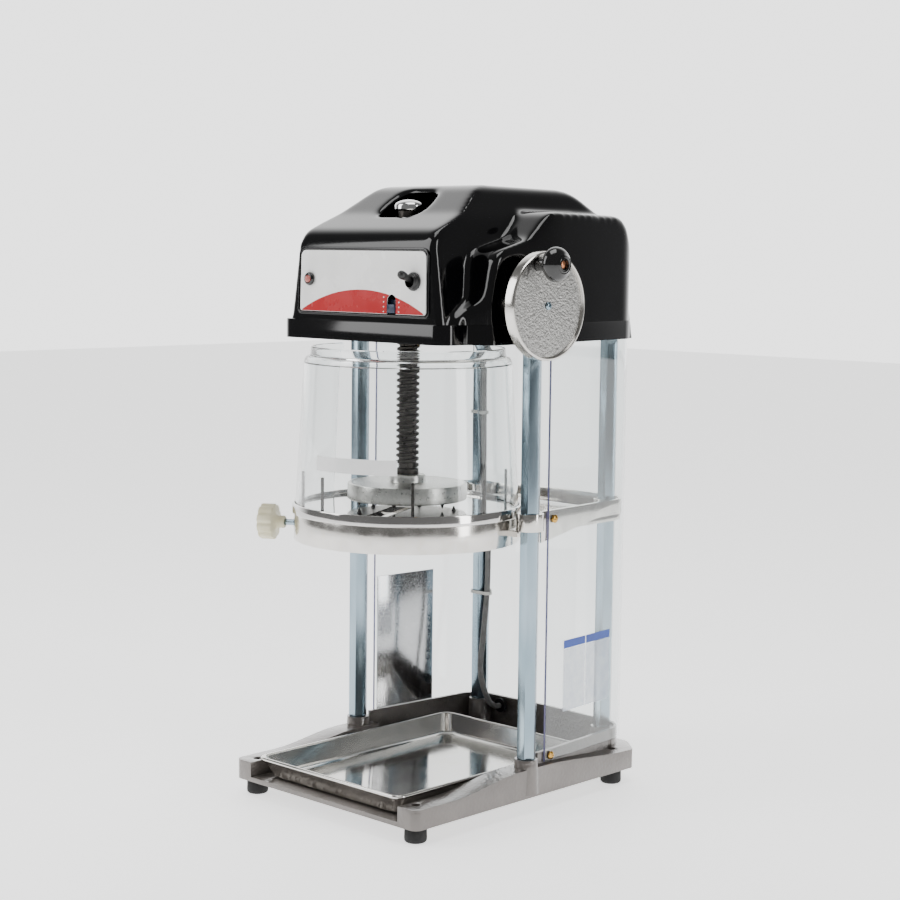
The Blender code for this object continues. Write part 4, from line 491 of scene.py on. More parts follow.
coil = coil_line()
leave = at(GLAND_X, GLAND_OUTSIDE, GLAND_Z)
coil_start = coil[0] + Vector((0, -GAP, 0))
straight = Vector((0, CORD_RADIUS * 2, 0))
fall = soft_line([leave + straight, (leave + coil_start) / 2, coil_start - straight], 18)
free_line = [leave] + fall + coil
print("free cord %.3f m, coil %.3f m" % (length_of(free_line), length_of(coil)))

# %% [markdown]
# PVC cord is soft and slightly matt, with faint scuffs where it was coiled. The two nylon ties
# and the gland are the same kind of matt moulding, white and black.

# %% Finishes of the cord
grey_pvc = surface("soft_grey_pvc", "6E6E6D", "828281", 4.0, (0.45, 0.62), 0.05)
nylon = surface("white_nylon_6", "DEDEDA", "F0F0EC", 3.0, (0.4, 0.55), 0.02)


def cord_piece(name, line):
    """A smooth round tube along a line of points."""
    curve = bpy.data.curves.new(name, "CURVE")
    curve.dimensions = "3D"
    spline = curve.splines.new("POLY")
    spline.points.add(len(line) - 1)
    for point, place in zip(spline.points, line):
        point.co = (*place, 1.0)
        point.radius = 1.0
    curve.bevel_depth = CORD_RADIUS
    curve.bevel_resolution = 6
    curve.use_fill_caps = True
    obj = bpy.data.objects.new(name, curve)
    bpy.context.scene.collection.objects.link(obj)
    return obj


# %% [markdown]
# The plug is moulded on the cord: a flat body with a waist for the fingers, ribs that let it bend
# and two flat brass blades 12.7 mm apart. It starts as a cube, and its edges are rounded.

# %% Plug
PLUG_LENGTH = 0.026
PLUG_WIDTH = 0.024
PLUG_HEIGHT = 0.0125
PLUG_BLADE_GAP = 0.0127
PLUG_BLADE_LENGTH = 0.016
PLUG_BLADE_HALF = 0.00075
PLUG_SLEEVE = 0.008
PLUG_WAIST = 0.84
PLUG_FLARE = 0.16
cord_end = free_line[-1] - Vector((GAP, 0, 0))
plug_far = cord_end.x - PLUG_LENGTH


def box_piece(name, low, high):
    """A cube stretched between two corners."""
    bpy.ops.object.select_all(action="DESELECT")
    low = Vector(low)
    high = Vector(high)
    bpy.ops.mesh.primitive_cube_add(size=1, location=(low + high) / 2, scale=high - low)
    obj = bpy.context.object
    obj.name = name
    obj.data.name = name
    bpy.ops.object.transform_apply()
    return obj


plug = box_piece("plug_body", (plug_far, cord_end.y - PLUG_WIDTH / 2, 0.0004),
                 (cord_end.x - PLUG_SLEEVE, cord_end.y + PLUG_WIDTH / 2, PLUG_HEIGHT))
edit_all(plug)
bpy.ops.mesh.subdivide(number_cuts=3)
bpy.ops.object.mode_set(mode="OBJECT")
plug_middle = (plug_far + cord_end.x - PLUG_SLEEVE) / 2
for vertex in plug.data.vertices:
    away = abs(vertex.co.x - plug_middle) / (PLUG_LENGTH / 2)
    narrowed = PLUG_WAIST + PLUG_FLARE * min(away, 1.0)
    vertex.co.y = cord_end.y + (vertex.co.y - cord_end.y) * narrowed
eased(plug, 0.0022, 3)
ribs = [(0.0, -0.0025)]
for k in range(4):
    ribs += [(0.0044 - k * 0.0003, k * 0.0021 - 0.0005), (0.0044 - k * 0.0003, k * 0.0021 + 0.0006),
             (0.0034, k * 0.0021 + 0.0008), (0.0034, k * 0.0021 + 0.0014)]
ribs += [(0.0031, 0.0078), (0.0, 0.0078)]
sleeve = turned("plug_sleeve", ribs, Vector((cord_end.x - PLUG_SLEEVE, cord_end.y, 0.0048)),
                (1, 0, 0), 32)
smoothed(sleeve, CREASE)
plug_pieces = [plug, sleeve]
for side in (-1, 1):
    y = cord_end.y + side * PLUG_BLADE_GAP / 2
    blade_pin = box_piece("plug_blade", (plug_far - PLUG_BLADE_LENGTH, y - PLUG_BLADE_HALF, 0.0033),
                          (plug_far + 0.001, y + PLUG_BLADE_HALF, 0.0093))
    eased(blade_pin, 0.0003)
    plug_pieces.append(blade_pin)
plug_brass = surface("plated_brass_strip", "B8964E", "CDAF68", 2.0, (0.22, 0.34), 0.0, 1.0)
for obj, finish in zip(plug_pieces, (grey_pvc, grey_pvc, plug_brass, plug_brass)):
    dress(obj, finish, "grey_cord", "frame", "plug")
print("plug pieces:", [obj.name for obj in plug_pieces])

# %% [markdown]
# The cord leaves the gland through a strain relief, a rubber sleeve that tapers, so that the cord
# can't be bent sharply at the casing. It is turned, with rings cut in it.

# %% Free cord, strain relief and held lead
free_cord = cord_piece("mains_cord", free_line)
dress(free_cord, grey_pvc, "grey_cord", "frame", "cord_free", "cord_coil")
RELIEF_LENGTH = 0.024
RELIEF_RADIUS = 0.0049
relief_profile = [(0.0, 0.0), (RELIEF_RADIUS, 0.0)]
for k in range(5):
    edge = RELIEF_RADIUS - k * 0.00028
    start = 0.001 + k * 0.0044
    relief_profile += [(edge, start), (edge - 0.0001, start + 0.0028),
                       (edge - 0.0008, start + 0.0031), (edge - 0.0008, start + 0.0040)]
relief_profile += [(0.0034, RELIEF_LENGTH), (0.0, RELIEF_LENGTH)]
relief_axis = (free_line[4] - leave).normalized()
strain_relief = turned("strain_relief", relief_profile, leave + Vector((0, 0.0002, 0)), relief_axis, 32)
smoothed(strain_relief, CREASE)
black_pvc = surface("moulded_black_pvc", "101011", "1A1A1B", 3.0, (0.35, 0.5), 0.03)
dress(strain_relief, black_pvc, "gloss_black_plastic", "frame")

HEAD_BOTTOM = 0.4468
gland_face = at(GLAND_X, GLAND_INSIDE, GLAND_Z)
lead_points = [(CORD_X, CORD_Y, HEAD_BOTTOM + 0.007), (CORD_X, CORD_Y, 0.40), (CORD_X, CORD_Y, 0.30),
               (CORD_X, CORD_Y, 0.20), (CORD_X, CORD_Y - 0.001, TIE_HEIGHTS[1]),
               (CORD_X + 0.0005, CORD_Y - 0.006, 0.125), (CORD_X + 0.002, CORD_Y - 0.012, 0.085),
               (GLAND_X - 0.001, GLAND_INSIDE - 0.017, 0.053),
               (GLAND_X, GLAND_INSIDE - CORD_RADIUS * 2, GLAND_Z)]
lead_line = soft_line([at(*point) for point in lead_points], 40) + [gland_face]
held_lead = cord_piece("held_lead", lead_line)
dress(held_lead, grey_pvc, "grey_cord", "frame", "cord_lead")
paint(nylon, "cable_tie_upper", "cable_tie_lower")
paint(black_pvc, "cord_gland")
print("held lead %.3f m" % length_of(lead_line))

# %% [markdown]
# Hammered enamel is the grey paint of cast machine bases. It pulls itself into dimples about 3 mm
# across while it dries and has fine aluminium flakes in it, so it glitters softly and hides the
# rough sand casting. A Voronoi pattern gives the dimples, and a clear coat the gloss on top.

# %% Hammered enamel
DIMPLE_MM = 3.2
DIMPLE_DEPTH_MM = 0.6
CLOUD_MM = 24.0
hammered = surface("hammered_grey_enamel", "5F5A56", "736D69", CLOUD_MM, 0.3, metallic=0.45,
                   ramp=(0.25, 0.75), Coat_Weight=0.8, Coat_Roughness=0.06)
tree = hammered.node_tree
place = add(tree, "ShaderNodeTexCoord", {})
dimples = add(tree, "ShaderNodeTexVoronoi", {"Vector": place.outputs["Object"],
                                             "Scale": PER_METRE / DIMPLE_MM, "Smoothness": 0.8},
              feature="SMOOTH_F1")
dents = add(tree, "ShaderNodeBump", {"Height": dimples.outputs["Distance"], "Strength": 0.5,
                                     "Distance": DIMPLE_DEPTH_MM / PER_METRE})
for socket in ("Normal", "Coat Normal"):
    tree.links.new(dents.outputs["Normal"], tree.nodes["Principled BSDF"].inputs[socket])
print("enamel with dimples of %.1f mm" % DIMPLE_MM)

# %% [markdown]
# The metals. Polished aluminium castings keep a soft unevenness under the shine. Zinc plating is
# bluish and slightly cloudy. The disc and the tray are stainless steel polished like a mirror.
# The lead screw is bare steel with an oil film. Each metal's roughness follows its own grain.

# %% Metals
polished_cast = surface("polished_cast_aluminium", "C9C6C1", "DEDBD6", 9.0, (0.10, 0.22), 0.12, 1.0)
machined = surface("machined_aluminium", "BDBBB7", "D2D0CC", 1.6, (0.26, 0.36), 0.02, 1.0)
zinc_plate = surface("bright_zinc_plate", "7A8E9A", "A0B1BC", 14.0, (0.14, 0.28), 0.04, 1.0,
                     stretch=(1, 1, 0.25))
mirror_steel = surface("mirror_stainless_steel", "C8C6C4", "DCDAD8", 30.0, (0.045, 0.10), 0.05, 1.0)
tray_steel = surface("pressed_stainless_steel", "CBC8C4", "DDDBD7", 26.0, (0.07, 0.15), 0.10, 1.0)
oiled_steel = surface("oiled_carbon_steel", "2E2B29", "4A4744", 3.0, (0.24, 0.42), 0.03, 1.0)
blade_steel = surface("ground_tool_steel", "A9A7A4", "C7C5C2", 1.2, (0.16, 0.28), 0.01, 1.0,
                      stretch=(1, 6, 1))
brass_bar = surface("turned_brass_bar", "A97F38", "CFA659", 4.0, (0.20, 0.34), 0.02, 1.0)
copper_screw = surface("copper_plated_steel", "9C6242", "C08260", 3.0, (0.22, 0.36), 0.02, 1.0)
chrome_plate = surface("chrome_plate", "CFCFD0", "E2E2E3", 18.0, (0.035, 0.075), 0.0, 1.0)

# %% [markdown]
# The handwheel's face was cast against a pebbled mould to give a grip, then only its rim was
# polished. The pebbles are about 1.5 mm, drawn with a smooth Voronoi relief.

# %% Pebbled aluminium
PEBBLE_MM = 1.5
PEBBLE_DEPTH_MM = 0.25
pebbled, tree, shader = mat("pebbled_cast_aluminium", 0.3, 1.0)
place = add(tree, "ShaderNodeTexCoord", {})
pebbles = add(tree, "ShaderNodeTexVoronoi", {"Vector": place.outputs["Object"],
                                             "Scale": PER_METRE / PEBBLE_MM, "Smoothness": 0.6},
              feature="SMOOTH_F1").outputs["Distance"]
tone = add(tree, "ShaderNodeValToRGB", {"Fac": pebbles}, stops=((0.1, "C9C8C5"), (0.75, "A09F9C")))
bump = add(tree, "ShaderNodeBump", {"Height": pebbles, "Distance": PEBBLE_DEPTH_MM / PER_METRE,
                                    "Strength": 0.5})
tree.links.new(tone.outputs["Color"], shader.inputs["Base Color"])
tree.links.new(bump.outputs["Normal"], shader.inputs["Normal"])
print("pebbles of %.1f mm" % PEBBLE_MM)

# %% [markdown]
# The plastics. The head is ABS, black and highly polished in the mould: its roughness is very
# low, and very faint waves keep the reflections from looking drawn with a ruler. The case and the
# rear cover are clear acrylic, IOR 1.49, which lets light through and mirrors the room at its
# edges. The adjuster knob is cream phenolic and the wheel's knob black phenolic.

# %% Plastics and rubber
gloss_black = surface("polished_black_abs", "020203", "050507", 60.0, (0.06, 0.10), 0.05, IOR=1.53,
                      Specular_IOR_Level=0.42)
black_phenolic = surface("black_phenolic", "060606", "0E0E0E", 20.0, (0.07, 0.13), 0.02, IOR=1.6)
satin_black = surface("satin_black_nylon", "0A0A0A", "141414", 2.0, (0.28, 0.4), 0.03)
cream_phenolic = surface("cream_phenolic", "D2CBA9", "E3DDC0", 6.0, (0.30, 0.42), 0.04)
foot_rubber = surface("moulded_black_rubber", "0C0C0C", "1A1A1A", 1.5, (0.6, 0.8), 0.06)
deep_blue = surface("deep_blue_abs", "0F1D33", "1B2C47", 3.0, (0.25, 0.4), 0.02)
motor_enamel = surface("stoved_motor_enamel", "333A3F", "454D53", 3.0, (0.35, 0.5), 0.05)
belt_rubber = surface("fabric_faced_rubber", "0E0E0E", "1D1D1D", 0.8, (0.6, 0.8), 0.08)

clear_acrylic = surface("clear_cast_acrylic", "F4F7F7", "FBFDFD", 80.0, (0.012, 0.03), detail=1.0,
                        IOR=1.49, Transmission_Weight=1.0)
lamp_red = surface("clear_red_polycarbonate", "C4544A", "E6958B", 3.0, 0.12, IOR=1.58,
                   Transmission_Weight=0.35)
film = surface("bright_metallised_film", "A3A3A5", "C2C2C4", 0.9, (0.07, 0.24), 0.03, 1.0, detail=4.0,
               ramp=(0.2, 0.8), strength=0.5)
print("finishes:", len(bpy.data.materials))

# %% [markdown]
# ## Base
# The base is one sand casting: two arms round the tray in front, a floor, a rim that carries the
# clear cover and a boss under each column. The CAD casting has the right outline but knife-sharp
# edges. A merged copy gets a bevel all round, because paint never holds on a sharp edge.

# %% Base casting and feet
base = copy_of("base_casting", "base_painted")
eased(base, 0.0011, 3, 32)
dress(base, hammered, "hammered_grey_paint", "frame", "base_casting")

FOOT_RADIUS = 0.0105
for name in ("foot_fl", "foot_fr", "foot_bl", "foot_br"):
    low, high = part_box(name)
    middle = (low + high) / 2
    profile = [(0, 0.0), (FOOT_RADIUS - 0.0022, 0.0), (FOOT_RADIUS - 0.0018, 0.0006),
               (FOOT_RADIUS - 0.0012, 0.0004), (FOOT_RADIUS - 0.0002, 0.0016),
               (FOOT_RADIUS, 0.0035), (FOOT_RADIUS - 0.0002, 0.0118),
               (FOOT_RADIUS - 0.0016, 0.0142), (0, 0.0146)]
    foot = turned("rubber_" + name, profile, Vector((middle.x, middle.y, 0.0001)), steps=48)
    smoothed(foot, 40)
    dress(foot, foot_rubber, "black_rubber", "frame", name)
print("base", len(base.data.polygons), "faces")

# %% [markdown]
# The columns are hexagonal bar with a zinc plating. Drawn bar has small radii on its corners,
# which catch the light as thin bright lines, so the CAD bar gets a bevel of half a millimetre.

# %% Columns
for name in ("column_fl", "column_fr", "column_bl", "column_br"):
    bar = copy_of(name, "bar_" + name[-2:])
    eased(bar, 0.0005, 2, 35)
    dress(bar, zinc_plate, "zinc_plated_steel", "frame", name)

# %% [markdown]
# The drip tray is deep-drawn from thin stainless sheet: round corners, sloping sides and a rim
# that is rolled over. It is drawn here as one closed outline that is extruded upwards and scaled
# outwards step by step, then over the rim and down the inside again, so the sheet gets its real
# thickness and the corners stay round.

# %% Drip tray
TRAY_WIDTH = 0.196
TRAY_FRONT = -0.165
TRAY_REAR = 0.101
TRAY_CORNER = 0.024
TRAY_DRAFT = 0.009
TRAY_SHEET = 0.0012
TRAY_LOW = 0.0198
TRAY_TOP = TRAY_LOW + 0.021
TRAY_RIM = 0.0022


def tray_line(inset):
    """The tray's outline drawn in by a distance."""
    half = TRAY_WIDTH / 2 - inset
    radius = max(TRAY_CORNER - inset, 0.006)
    corners = [(-half, TRAY_FRONT + inset), (half, TRAY_FRONT + inset),
               (half, TRAY_REAR - inset), (-half, TRAY_REAR - inset)]
    return rounded(corners, [radius] * 4, 10)


def stepped(name, points, levels, middle, halves):
    """An outline extruded from level to level, drawn in or out to each (inset, height)."""
    inset, height = levels[0]
    obj = drawn(name, points)
    edit_all(obj)
    for next_inset, next_height in levels[1:]:
        bpy.ops.mesh.extrude_region_move(
            TRANSFORM_OT_translate={"value": (0, 0, next_height - height)})
        sizes = [(half - next_inset) / (half - inset) for half in halves]
        bpy.ops.transform.resize(value=(sizes[0], sizes[1], 1.0), center_override=middle)
        inset, height = next_inset, next_height
    bpy.ops.object.mode_set(mode="OBJECT")
    return close_up(obj, FINE_MERGE)


levels = [(TRAY_DRAFT + 0.006, TRAY_LOW), (TRAY_DRAFT + 0.0025, TRAY_LOW + 0.0004),
          (TRAY_DRAFT + 0.0005, TRAY_LOW + 0.0022), (TRAY_RIM + 0.0006, TRAY_TOP - 0.0050),
          (TRAY_RIM, TRAY_TOP - 0.0040), (TRAY_RIM - 0.0006, TRAY_TOP - 0.0038),
          (0.0004, TRAY_TOP - 0.0032), (0.0, TRAY_TOP - 0.0018), (0.0004, TRAY_TOP - 0.0006),
          (0.0012, TRAY_TOP), (0.0022, TRAY_TOP - 0.0001), (0.0030, TRAY_TOP - 0.0008),
          (TRAY_RIM + TRAY_SHEET + 0.0004, TRAY_TOP - 0.0018),
          (TRAY_DRAFT + TRAY_SHEET, TRAY_LOW + TRAY_SHEET + 0.0032),
          (TRAY_DRAFT + TRAY_SHEET + 0.0028, TRAY_LOW + TRAY_SHEET + 0.0007),
          (TRAY_DRAFT + TRAY_SHEET + 0.0080, TRAY_LOW + TRAY_SHEET)]
tray_middle = at(0, (TRAY_FRONT + TRAY_REAR) / 2, 0)
tray_halves = (TRAY_WIDTH / 2, (TRAY_REAR - TRAY_FRONT) / 2)
tray_points = [at(x, y, TRAY_LOW) for x, y in tray_line(levels[0][0])]
tray = stepped("pressed_tray", tray_points, levels, tray_middle, tray_halves)
smoothed(tray, 50)
dress(tray, tray_steel, "polished_stainless", "tray", "drip_tray")
print("tray", len(tray.data.polygons), "faces")

# %% [markdown]
# ## Blade table
# The table casting is a ring under the disc, and a walled shelf that reaches back between the
# columns. It is aluminium, ground and polished on the outside. As on the base, a merged copy of
# the CAD casting gets small radii.

# %% Table casting
table = copy_of("table_casting", "table_polished")
eased(table, 0.0006, 2, 32)
dress(table, polished_cast, "machined_aluminium", "frame", "table_casting")
paint(machined, "blade_rail")
print("table casting", len(table.data.polygons), "faces")

# %% [markdown]
# The disc that the ice turns on is a steel plate with a low raised rim, turned and then polished
# like a mirror. It is spun from its profile. The blade slot is cut through it with a boolean, which
# leaves the crisp edges of a milled slot.

# %% Disc
DISC_RADIUS = 0.1105
DISC_LOW = 0.2810
TABLE_TOP = 0.2870
RIM_TOP = 0.2910
SLOT_ANGLE = -64.0
SLOT_INNER = 0.014
SLOT_OUTER = 0.096
SLOT_WIDTH = 0.022
CUT_LOW = 0.2
CUT_HIGH = 0.4
disc_profile = [(0, DISC_LOW), (DISC_RADIUS - 0.0006, DISC_LOW), (DISC_RADIUS, DISC_LOW + 0.0006),
                (DISC_RADIUS, RIM_TOP - 0.0010), (DISC_RADIUS - 0.0003, RIM_TOP - 0.0003),
                (DISC_RADIUS - 0.0010, RIM_TOP), (DISC_RADIUS - 0.0020, RIM_TOP - 0.0002),
                (DISC_RADIUS - 0.0025, RIM_TOP - 0.0008), (DISC_RADIUS - 0.0029, TABLE_TOP + 0.0008),
                (DISC_RADIUS - 0.0037, TABLE_TOP), (0, TABLE_TOP)]
disc = turned("polished_disc", disc_profile, screw_foot, steps=128)
slot_tool = box_piece("slot_tool", (SLOT_INNER, -SLOT_WIDTH / 2, CUT_LOW),
                      (SLOT_OUTER, SLOT_WIDTH / 2, CUT_HIGH))
settle(slot_tool, Matrix.Translation(screw_foot) @ Matrix.Rotation(radians(SLOT_ANGLE), 4, "Z"))
merged(disc, "DIFFERENCE", slot_tool)
smoothed(disc, 30)
dress(disc, mirror_steel, "polished_stainless", "frame", "blade_table")
print("disc", len(disc.data.polygons), "faces")

# %% [markdown]
# Five dark pins stand on the disc just inside the case and keep it on its circle while it turns.
# They are turned from bar with a domed top.

# %% Case pins
PIN_RADIUS = 0.0015
for number in range(1, 6):
    name = "case_pin_%d" % number
    low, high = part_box(name)
    middle = (low + high) / 2
    top = high.z
    profile = [(0, low.z), (PIN_RADIUS, low.z), (PIN_RADIUS, top - 0.0010),
               (PIN_RADIUS * 0.92, top - 0.0005), (PIN_RADIUS * 0.7, top - 0.0002), (0, top)]
    pin = turned("guide_" + name, profile, Vector((middle.x, middle.y, 0)), steps=24)
    smoothed(pin, 50)
    dress(pin, oiled_steel, "oiled_steel", "frame", name)
paint(blade_steel, "blade")
paint(brass_bar, "blade_holder")

# %% [markdown]
# The adjuster sets how far the blade stands up. Its knob is moulded in cream phenolic with ten
# scallops for wet fingers. The outline is a circle whose radius dips ten times. It is extruded in
# steps and drawn in near both faces, which leaves the soft edge of a moulding.

# %% Adjuster knob and stud
ADJUST_ANGLE = 210.7
ADJUST_Z = 0.2655
KNOB_START = 0.1325
KNOB_RADIUS = 0.0175
KNOB_LEVELS = ((0.0012, 0.0), (0.0004, 0.0004), (0.0, 0.0012), (0.0, 0.0135), (0.0005, 0.0144),
               (0.0016, 0.0149), (0.0042, 0.0150), (0.0052, 0.0142), (0.0090, 0.0140),
               (0.0104, 0.0147), (0.0130, 0.0148))
FLUTES = 10
FLUTE_DEPTH = 0.0018
FLUTE_STEPS = 14
adjust_place = at(0, SCREW_Y, ADJUST_Z)
adjust_axis = Vector((cos(radians(ADJUST_ANGLE)), sin(radians(ADJUST_ANGLE)), 0))


def scallops(radius, depth, count):
    """A circle that dips evenly, as (across, up) points."""
    points = []
    steps = count * FLUTE_STEPS
    for i in range(steps):
        turn = tau * i / steps
        dip = depth * (0.5 + 0.5 * cos(count * turn)) ** 3
        points.append(((radius - dip) * cos(turn), (radius - dip) * sin(turn)))
    return points


knob_line = scallops(KNOB_RADIUS - KNOB_LEVELS[0][0], FLUTE_DEPTH, FLUTES)
knob = stepped("fluted_knob", [(x, y, KNOB_START) for x, y in knob_line],
               [(inset, KNOB_START + rise) for inset, rise in KNOB_LEVELS], (0, 0, 0),
               (KNOB_RADIUS, KNOB_RADIUS))
smoothed(knob, 42)
settle(knob, aimed(adjust_axis, adjust_place))
dress(knob, cream_phenolic, "cream_plastic", "adjuster", "adjust_knob")
hub_profile = [(0.0034, 0.1230), (0.0054, 0.1230), (0.0060, 0.1236), (0.0062, 0.1250),
               (0.0062, 0.1296), (0.0070, 0.1310), (0.0088, 0.1322), (0.0100, 0.1326), (0.0034, 0.1326),
               (0.0034, 0.1230)]
hub = turned("knob_hub", hub_profile, adjust_place, adjust_axis, 40)
smoothed(hub, 40)
dress(hub, cream_phenolic, "cream_plastic", "adjuster")
stud = copy_of("adjust_stud", "threaded_stud")
eased(stud, 0.0002, 2, 35)
dress(stud, zinc_plate, "zinc_plated_steel", "adjuster", "adjust_stud")
print("knob", len(knob.data.polygons), "faces")

# %% [markdown]
# ## Ice case
# The case is moulded in clear acrylic, 3 mm thick, as a slightly tapered drum with a rolled
# shoulder and an upright lip. A quarter of it is open, at the back, where the ice goes in. The
# profile of the wall is a closed line, and it is spun through three quarters of a turn. With no
# window, a negative spin angle runs anticlockwise.

# %% Ice case
CASE_FOOT = 0.1075
CASE_TOP_RADIUS = 0.0995
CASE_TOP = 0.4320
CASE_LIP_TOP = 0.4400
CASE_LIP_RADIUS = 0.0935
CASE_WALL = 0.0030
CASE_OPENING = 90.0
CASE_START = 180.0
CASE_STEPS = 108
CASE_LOW = TABLE_TOP + GAP
SHOULDER = 0.0060
WALL_LEAN = (CASE_TOP_RADIUS + 0.0003 - CASE_FOOT) / (CASE_TOP - SHOULDER - CASE_LOW - 0.0004)


def swept(name, line, start, arc, steps):
    """A closed profile spun anticlockwise round the screw, from a start through an arc."""
    obj = drawn(name, [(radius, 0, height) for radius, height in line])
    edit_all(obj)
    bpy.ops.mesh.spin(steps=steps, angle=-radians(arc), center=(0, 0, 0), axis=(0, 0, 1))
    bpy.ops.object.mode_set(mode="OBJECT")
    close_up(obj, FINE_MERGE)
    settle(obj, Matrix.Translation(screw_foot) @ Matrix.Rotation(radians(start), 4, "Z"))
    return smoothed(obj, CREASE)


support = [(CASE_FOOT + WALL_LEAN * 0.002, CASE_LOW + 0.0024),
           (CASE_TOP_RADIUS + 0.0003 - WALL_LEAN * 0.002, CASE_TOP - SHOULDER - 0.002)]
case_line = [(CASE_FOOT - 0.0003, CASE_LOW), (CASE_FOOT, CASE_LOW + 0.0004)] + support
case_line += [(CASE_TOP_RADIUS + 0.0003, CASE_TOP - SHOULDER)]
case_line += [(CASE_TOP_RADIUS - SHOULDER * (1 - cos(radians(t))),
               CASE_TOP - SHOULDER + SHOULDER * sin(radians(t))) for t in range(15, 91, 15)]
case_line += [(CASE_LIP_RADIUS + 0.0004, CASE_TOP + 0.0004), (CASE_LIP_RADIUS, CASE_TOP + 0.0012),
              (CASE_LIP_RADIUS - 0.0003, CASE_LIP_TOP - 0.0008), (CASE_LIP_RADIUS - 0.0010, CASE_LIP_TOP),
              (CASE_LIP_RADIUS - 0.0020, CASE_LIP_TOP), (CASE_LIP_RADIUS - 0.0028, CASE_LIP_TOP - 0.0008),
              (CASE_LIP_RADIUS - CASE_WALL, CASE_TOP - CASE_WALL + 0.0010),
              (CASE_LIP_RADIUS - CASE_WALL + 0.0010, CASE_TOP - CASE_WALL)]
case_line += [(CASE_TOP_RADIUS - SHOULDER + (SHOULDER - CASE_WALL - 0.0007) * sin(radians(t)),
               CASE_TOP - SHOULDER - 0.0010 + (SHOULDER - CASE_WALL + 0.0010) * cos(radians(t)))
              for t in range(0, 91, 18)]
case_line += [(radius - CASE_WALL, height) for radius, height in support[::-1]]
case_line += [(CASE_FOOT - CASE_WALL, CASE_LOW + 0.0004), (CASE_FOOT - CASE_WALL + 0.0006, CASE_LOW)]
case = swept("clear_case", case_line, CASE_START, 360 - CASE_OPENING, CASE_STEPS)
dress(case, clear_acrylic, "clear_plastic", "case", "ice_case")
print("case", len(case.data.polygons), "faces")

# %% [markdown]
# A plain white sticker is on the front of the case. It is a thin curved plate: a short line spun
# part of the way round the case's axis.

# %% Case sticker
LABEL_LOW = 0.3275
LABEL_HIGH = 0.3415
LABEL_START = -98.0
LABEL_ARC = 48.0
LABEL_GAP = 0.0002
LABEL_SHEET = 0.0002
LABEL_STEPS = 16
foot_radius = CASE_FOOT + (LABEL_LOW - CASE_LOW) * WALL_LEAN + LABEL_GAP
head_radius = CASE_FOOT + (LABEL_HIGH - CASE_LOW) * WALL_LEAN + LABEL_GAP
label_line = [(foot_radius, LABEL_LOW), (head_radius, LABEL_HIGH),
              (head_radius + LABEL_SHEET, LABEL_HIGH), (foot_radius + LABEL_SHEET, LABEL_LOW)]
label = swept("case_sticker", label_line, LABEL_START, LABEL_ARC, LABEL_STEPS)
sticker_white = surface("white_vinyl_film", "E2E3E3", "F0F0F0", 12.0, (0.35, 0.5))
dress(label, sticker_white, "printed_panel", "case")
print("case and sticker made")

# %% [markdown]
# ## Clear cover at the back
# One sheet of clear acrylic, 2 mm thick, is bent round the back of the machine and held with four
# brass screws. The sheet's outline is drawn as seen from above, with round rear corners, and is
# extruded upwards. Its sawn front edges are polished and look slightly violet.

# %% Rear cover
OUTLINE_HALF_FRONT = 0.1175
OUTLINE_HALF_REAR = 0.1045
OUTLINE_FRONT = 0.0035
OUTLINE_CORNER_Y = 0.1540
OUTLINE_REAR = 0.1585
OUTLINE_RADIUS = 0.0270
OUTLINE_BULGE = 0.3
COVER_FRONT = 0.0125
COVER_SHEET = 0.0020
COVER_LOW = 0.0438
SIDE_SLOPE = (OUTLINE_HALF_FRONT - OUTLINE_HALF_REAR) / (OUTLINE_CORNER_Y - OUTLINE_FRONT)


def moved_path(corners, distance):
    """An open path moved sideways: a positive distance goes to the right of its run."""
    lines = []
    for a, b in zip(corners, corners[1:]):
        run = (Vector(b) - Vector(a)).normalized()
        side = Vector((run.y, -run.x)) * distance
        lines.append((Vector(a) + side, run))
    points = [lines[0][0]]
    for (p, d), (q, e) in zip(lines, lines[1:]):
        cross = d.x * e.y - d.y * e.x
        step = ((q - p).x * e.y - (q - p).y * e.x) / cross
        points.append(p + d * step)
    points.append(lines[-1][0] + Vector(corners[-1]) - Vector(corners[-2]))
    return [tuple(point) for point in points]


def back_line(outset, front):
    """The U of the machine's back, moved outwards by a distance."""
    half = OUTLINE_HALF_FRONT - (front - OUTLINE_FRONT) * SIDE_SLOPE
    corners = [(-half, front), (-OUTLINE_HALF_REAR, OUTLINE_CORNER_Y), (0.0, OUTLINE_REAR),
               (OUTLINE_HALF_REAR, OUTLINE_CORNER_Y), (half, front)]
    return rounded(moved_path(corners, -outset),
                   [0, OUTLINE_RADIUS + outset, OUTLINE_BULGE, OUTLINE_RADIUS + outset, 0], 12)


sheet_line = back_line(GAP + COVER_SHEET, COVER_FRONT) + back_line(GAP, COVER_FRONT)[::-1]
cover = slab("clear_cover", [at(x, y, COVER_LOW) for x, y in sheet_line],
             (0, 0, HEAD_BOTTOM - GAP - COVER_LOW))
gland_bore = drill("gland_bore", 0.0056, 0.02, at(GLAND_X, GLAND_INSIDE + 0.008, GLAND_Z),
                   (0, 1, 0), 40)
merged(cover, "DIFFERENCE", gland_bore)
smoothed(cover, 30)
dress(cover, clear_acrylic, "clear_plastic", "frame", "rear_cover")

edge_violet = surface("polished_acrylic_edge", "8F8BC0", "B7B4DC", 30.0, 0.06, IOR=1.49,
                      Transmission_Weight=0.6)
for side in (-1, 1):
    half = OUTLINE_HALF_FRONT - (COVER_FRONT - OUTLINE_FRONT) * SIDE_SLOPE + GAP
    low_x, high_x = sorted((side * (half + 0.0001), side * (half + COVER_SHEET - 0.0001)))
    strip = box_piece("cover_edge", at(low_x, COVER_FRONT - 0.0006, COVER_LOW + 0.0002),
                      at(high_x, COVER_FRONT - 0.0001, HEAD_BOTTOM - 0.0006))
    eased(strip, 0.0002)
    dress(strip, edge_violet, "clear_plastic", "frame")
print("cover", len(cover.data.polygons), "faces")

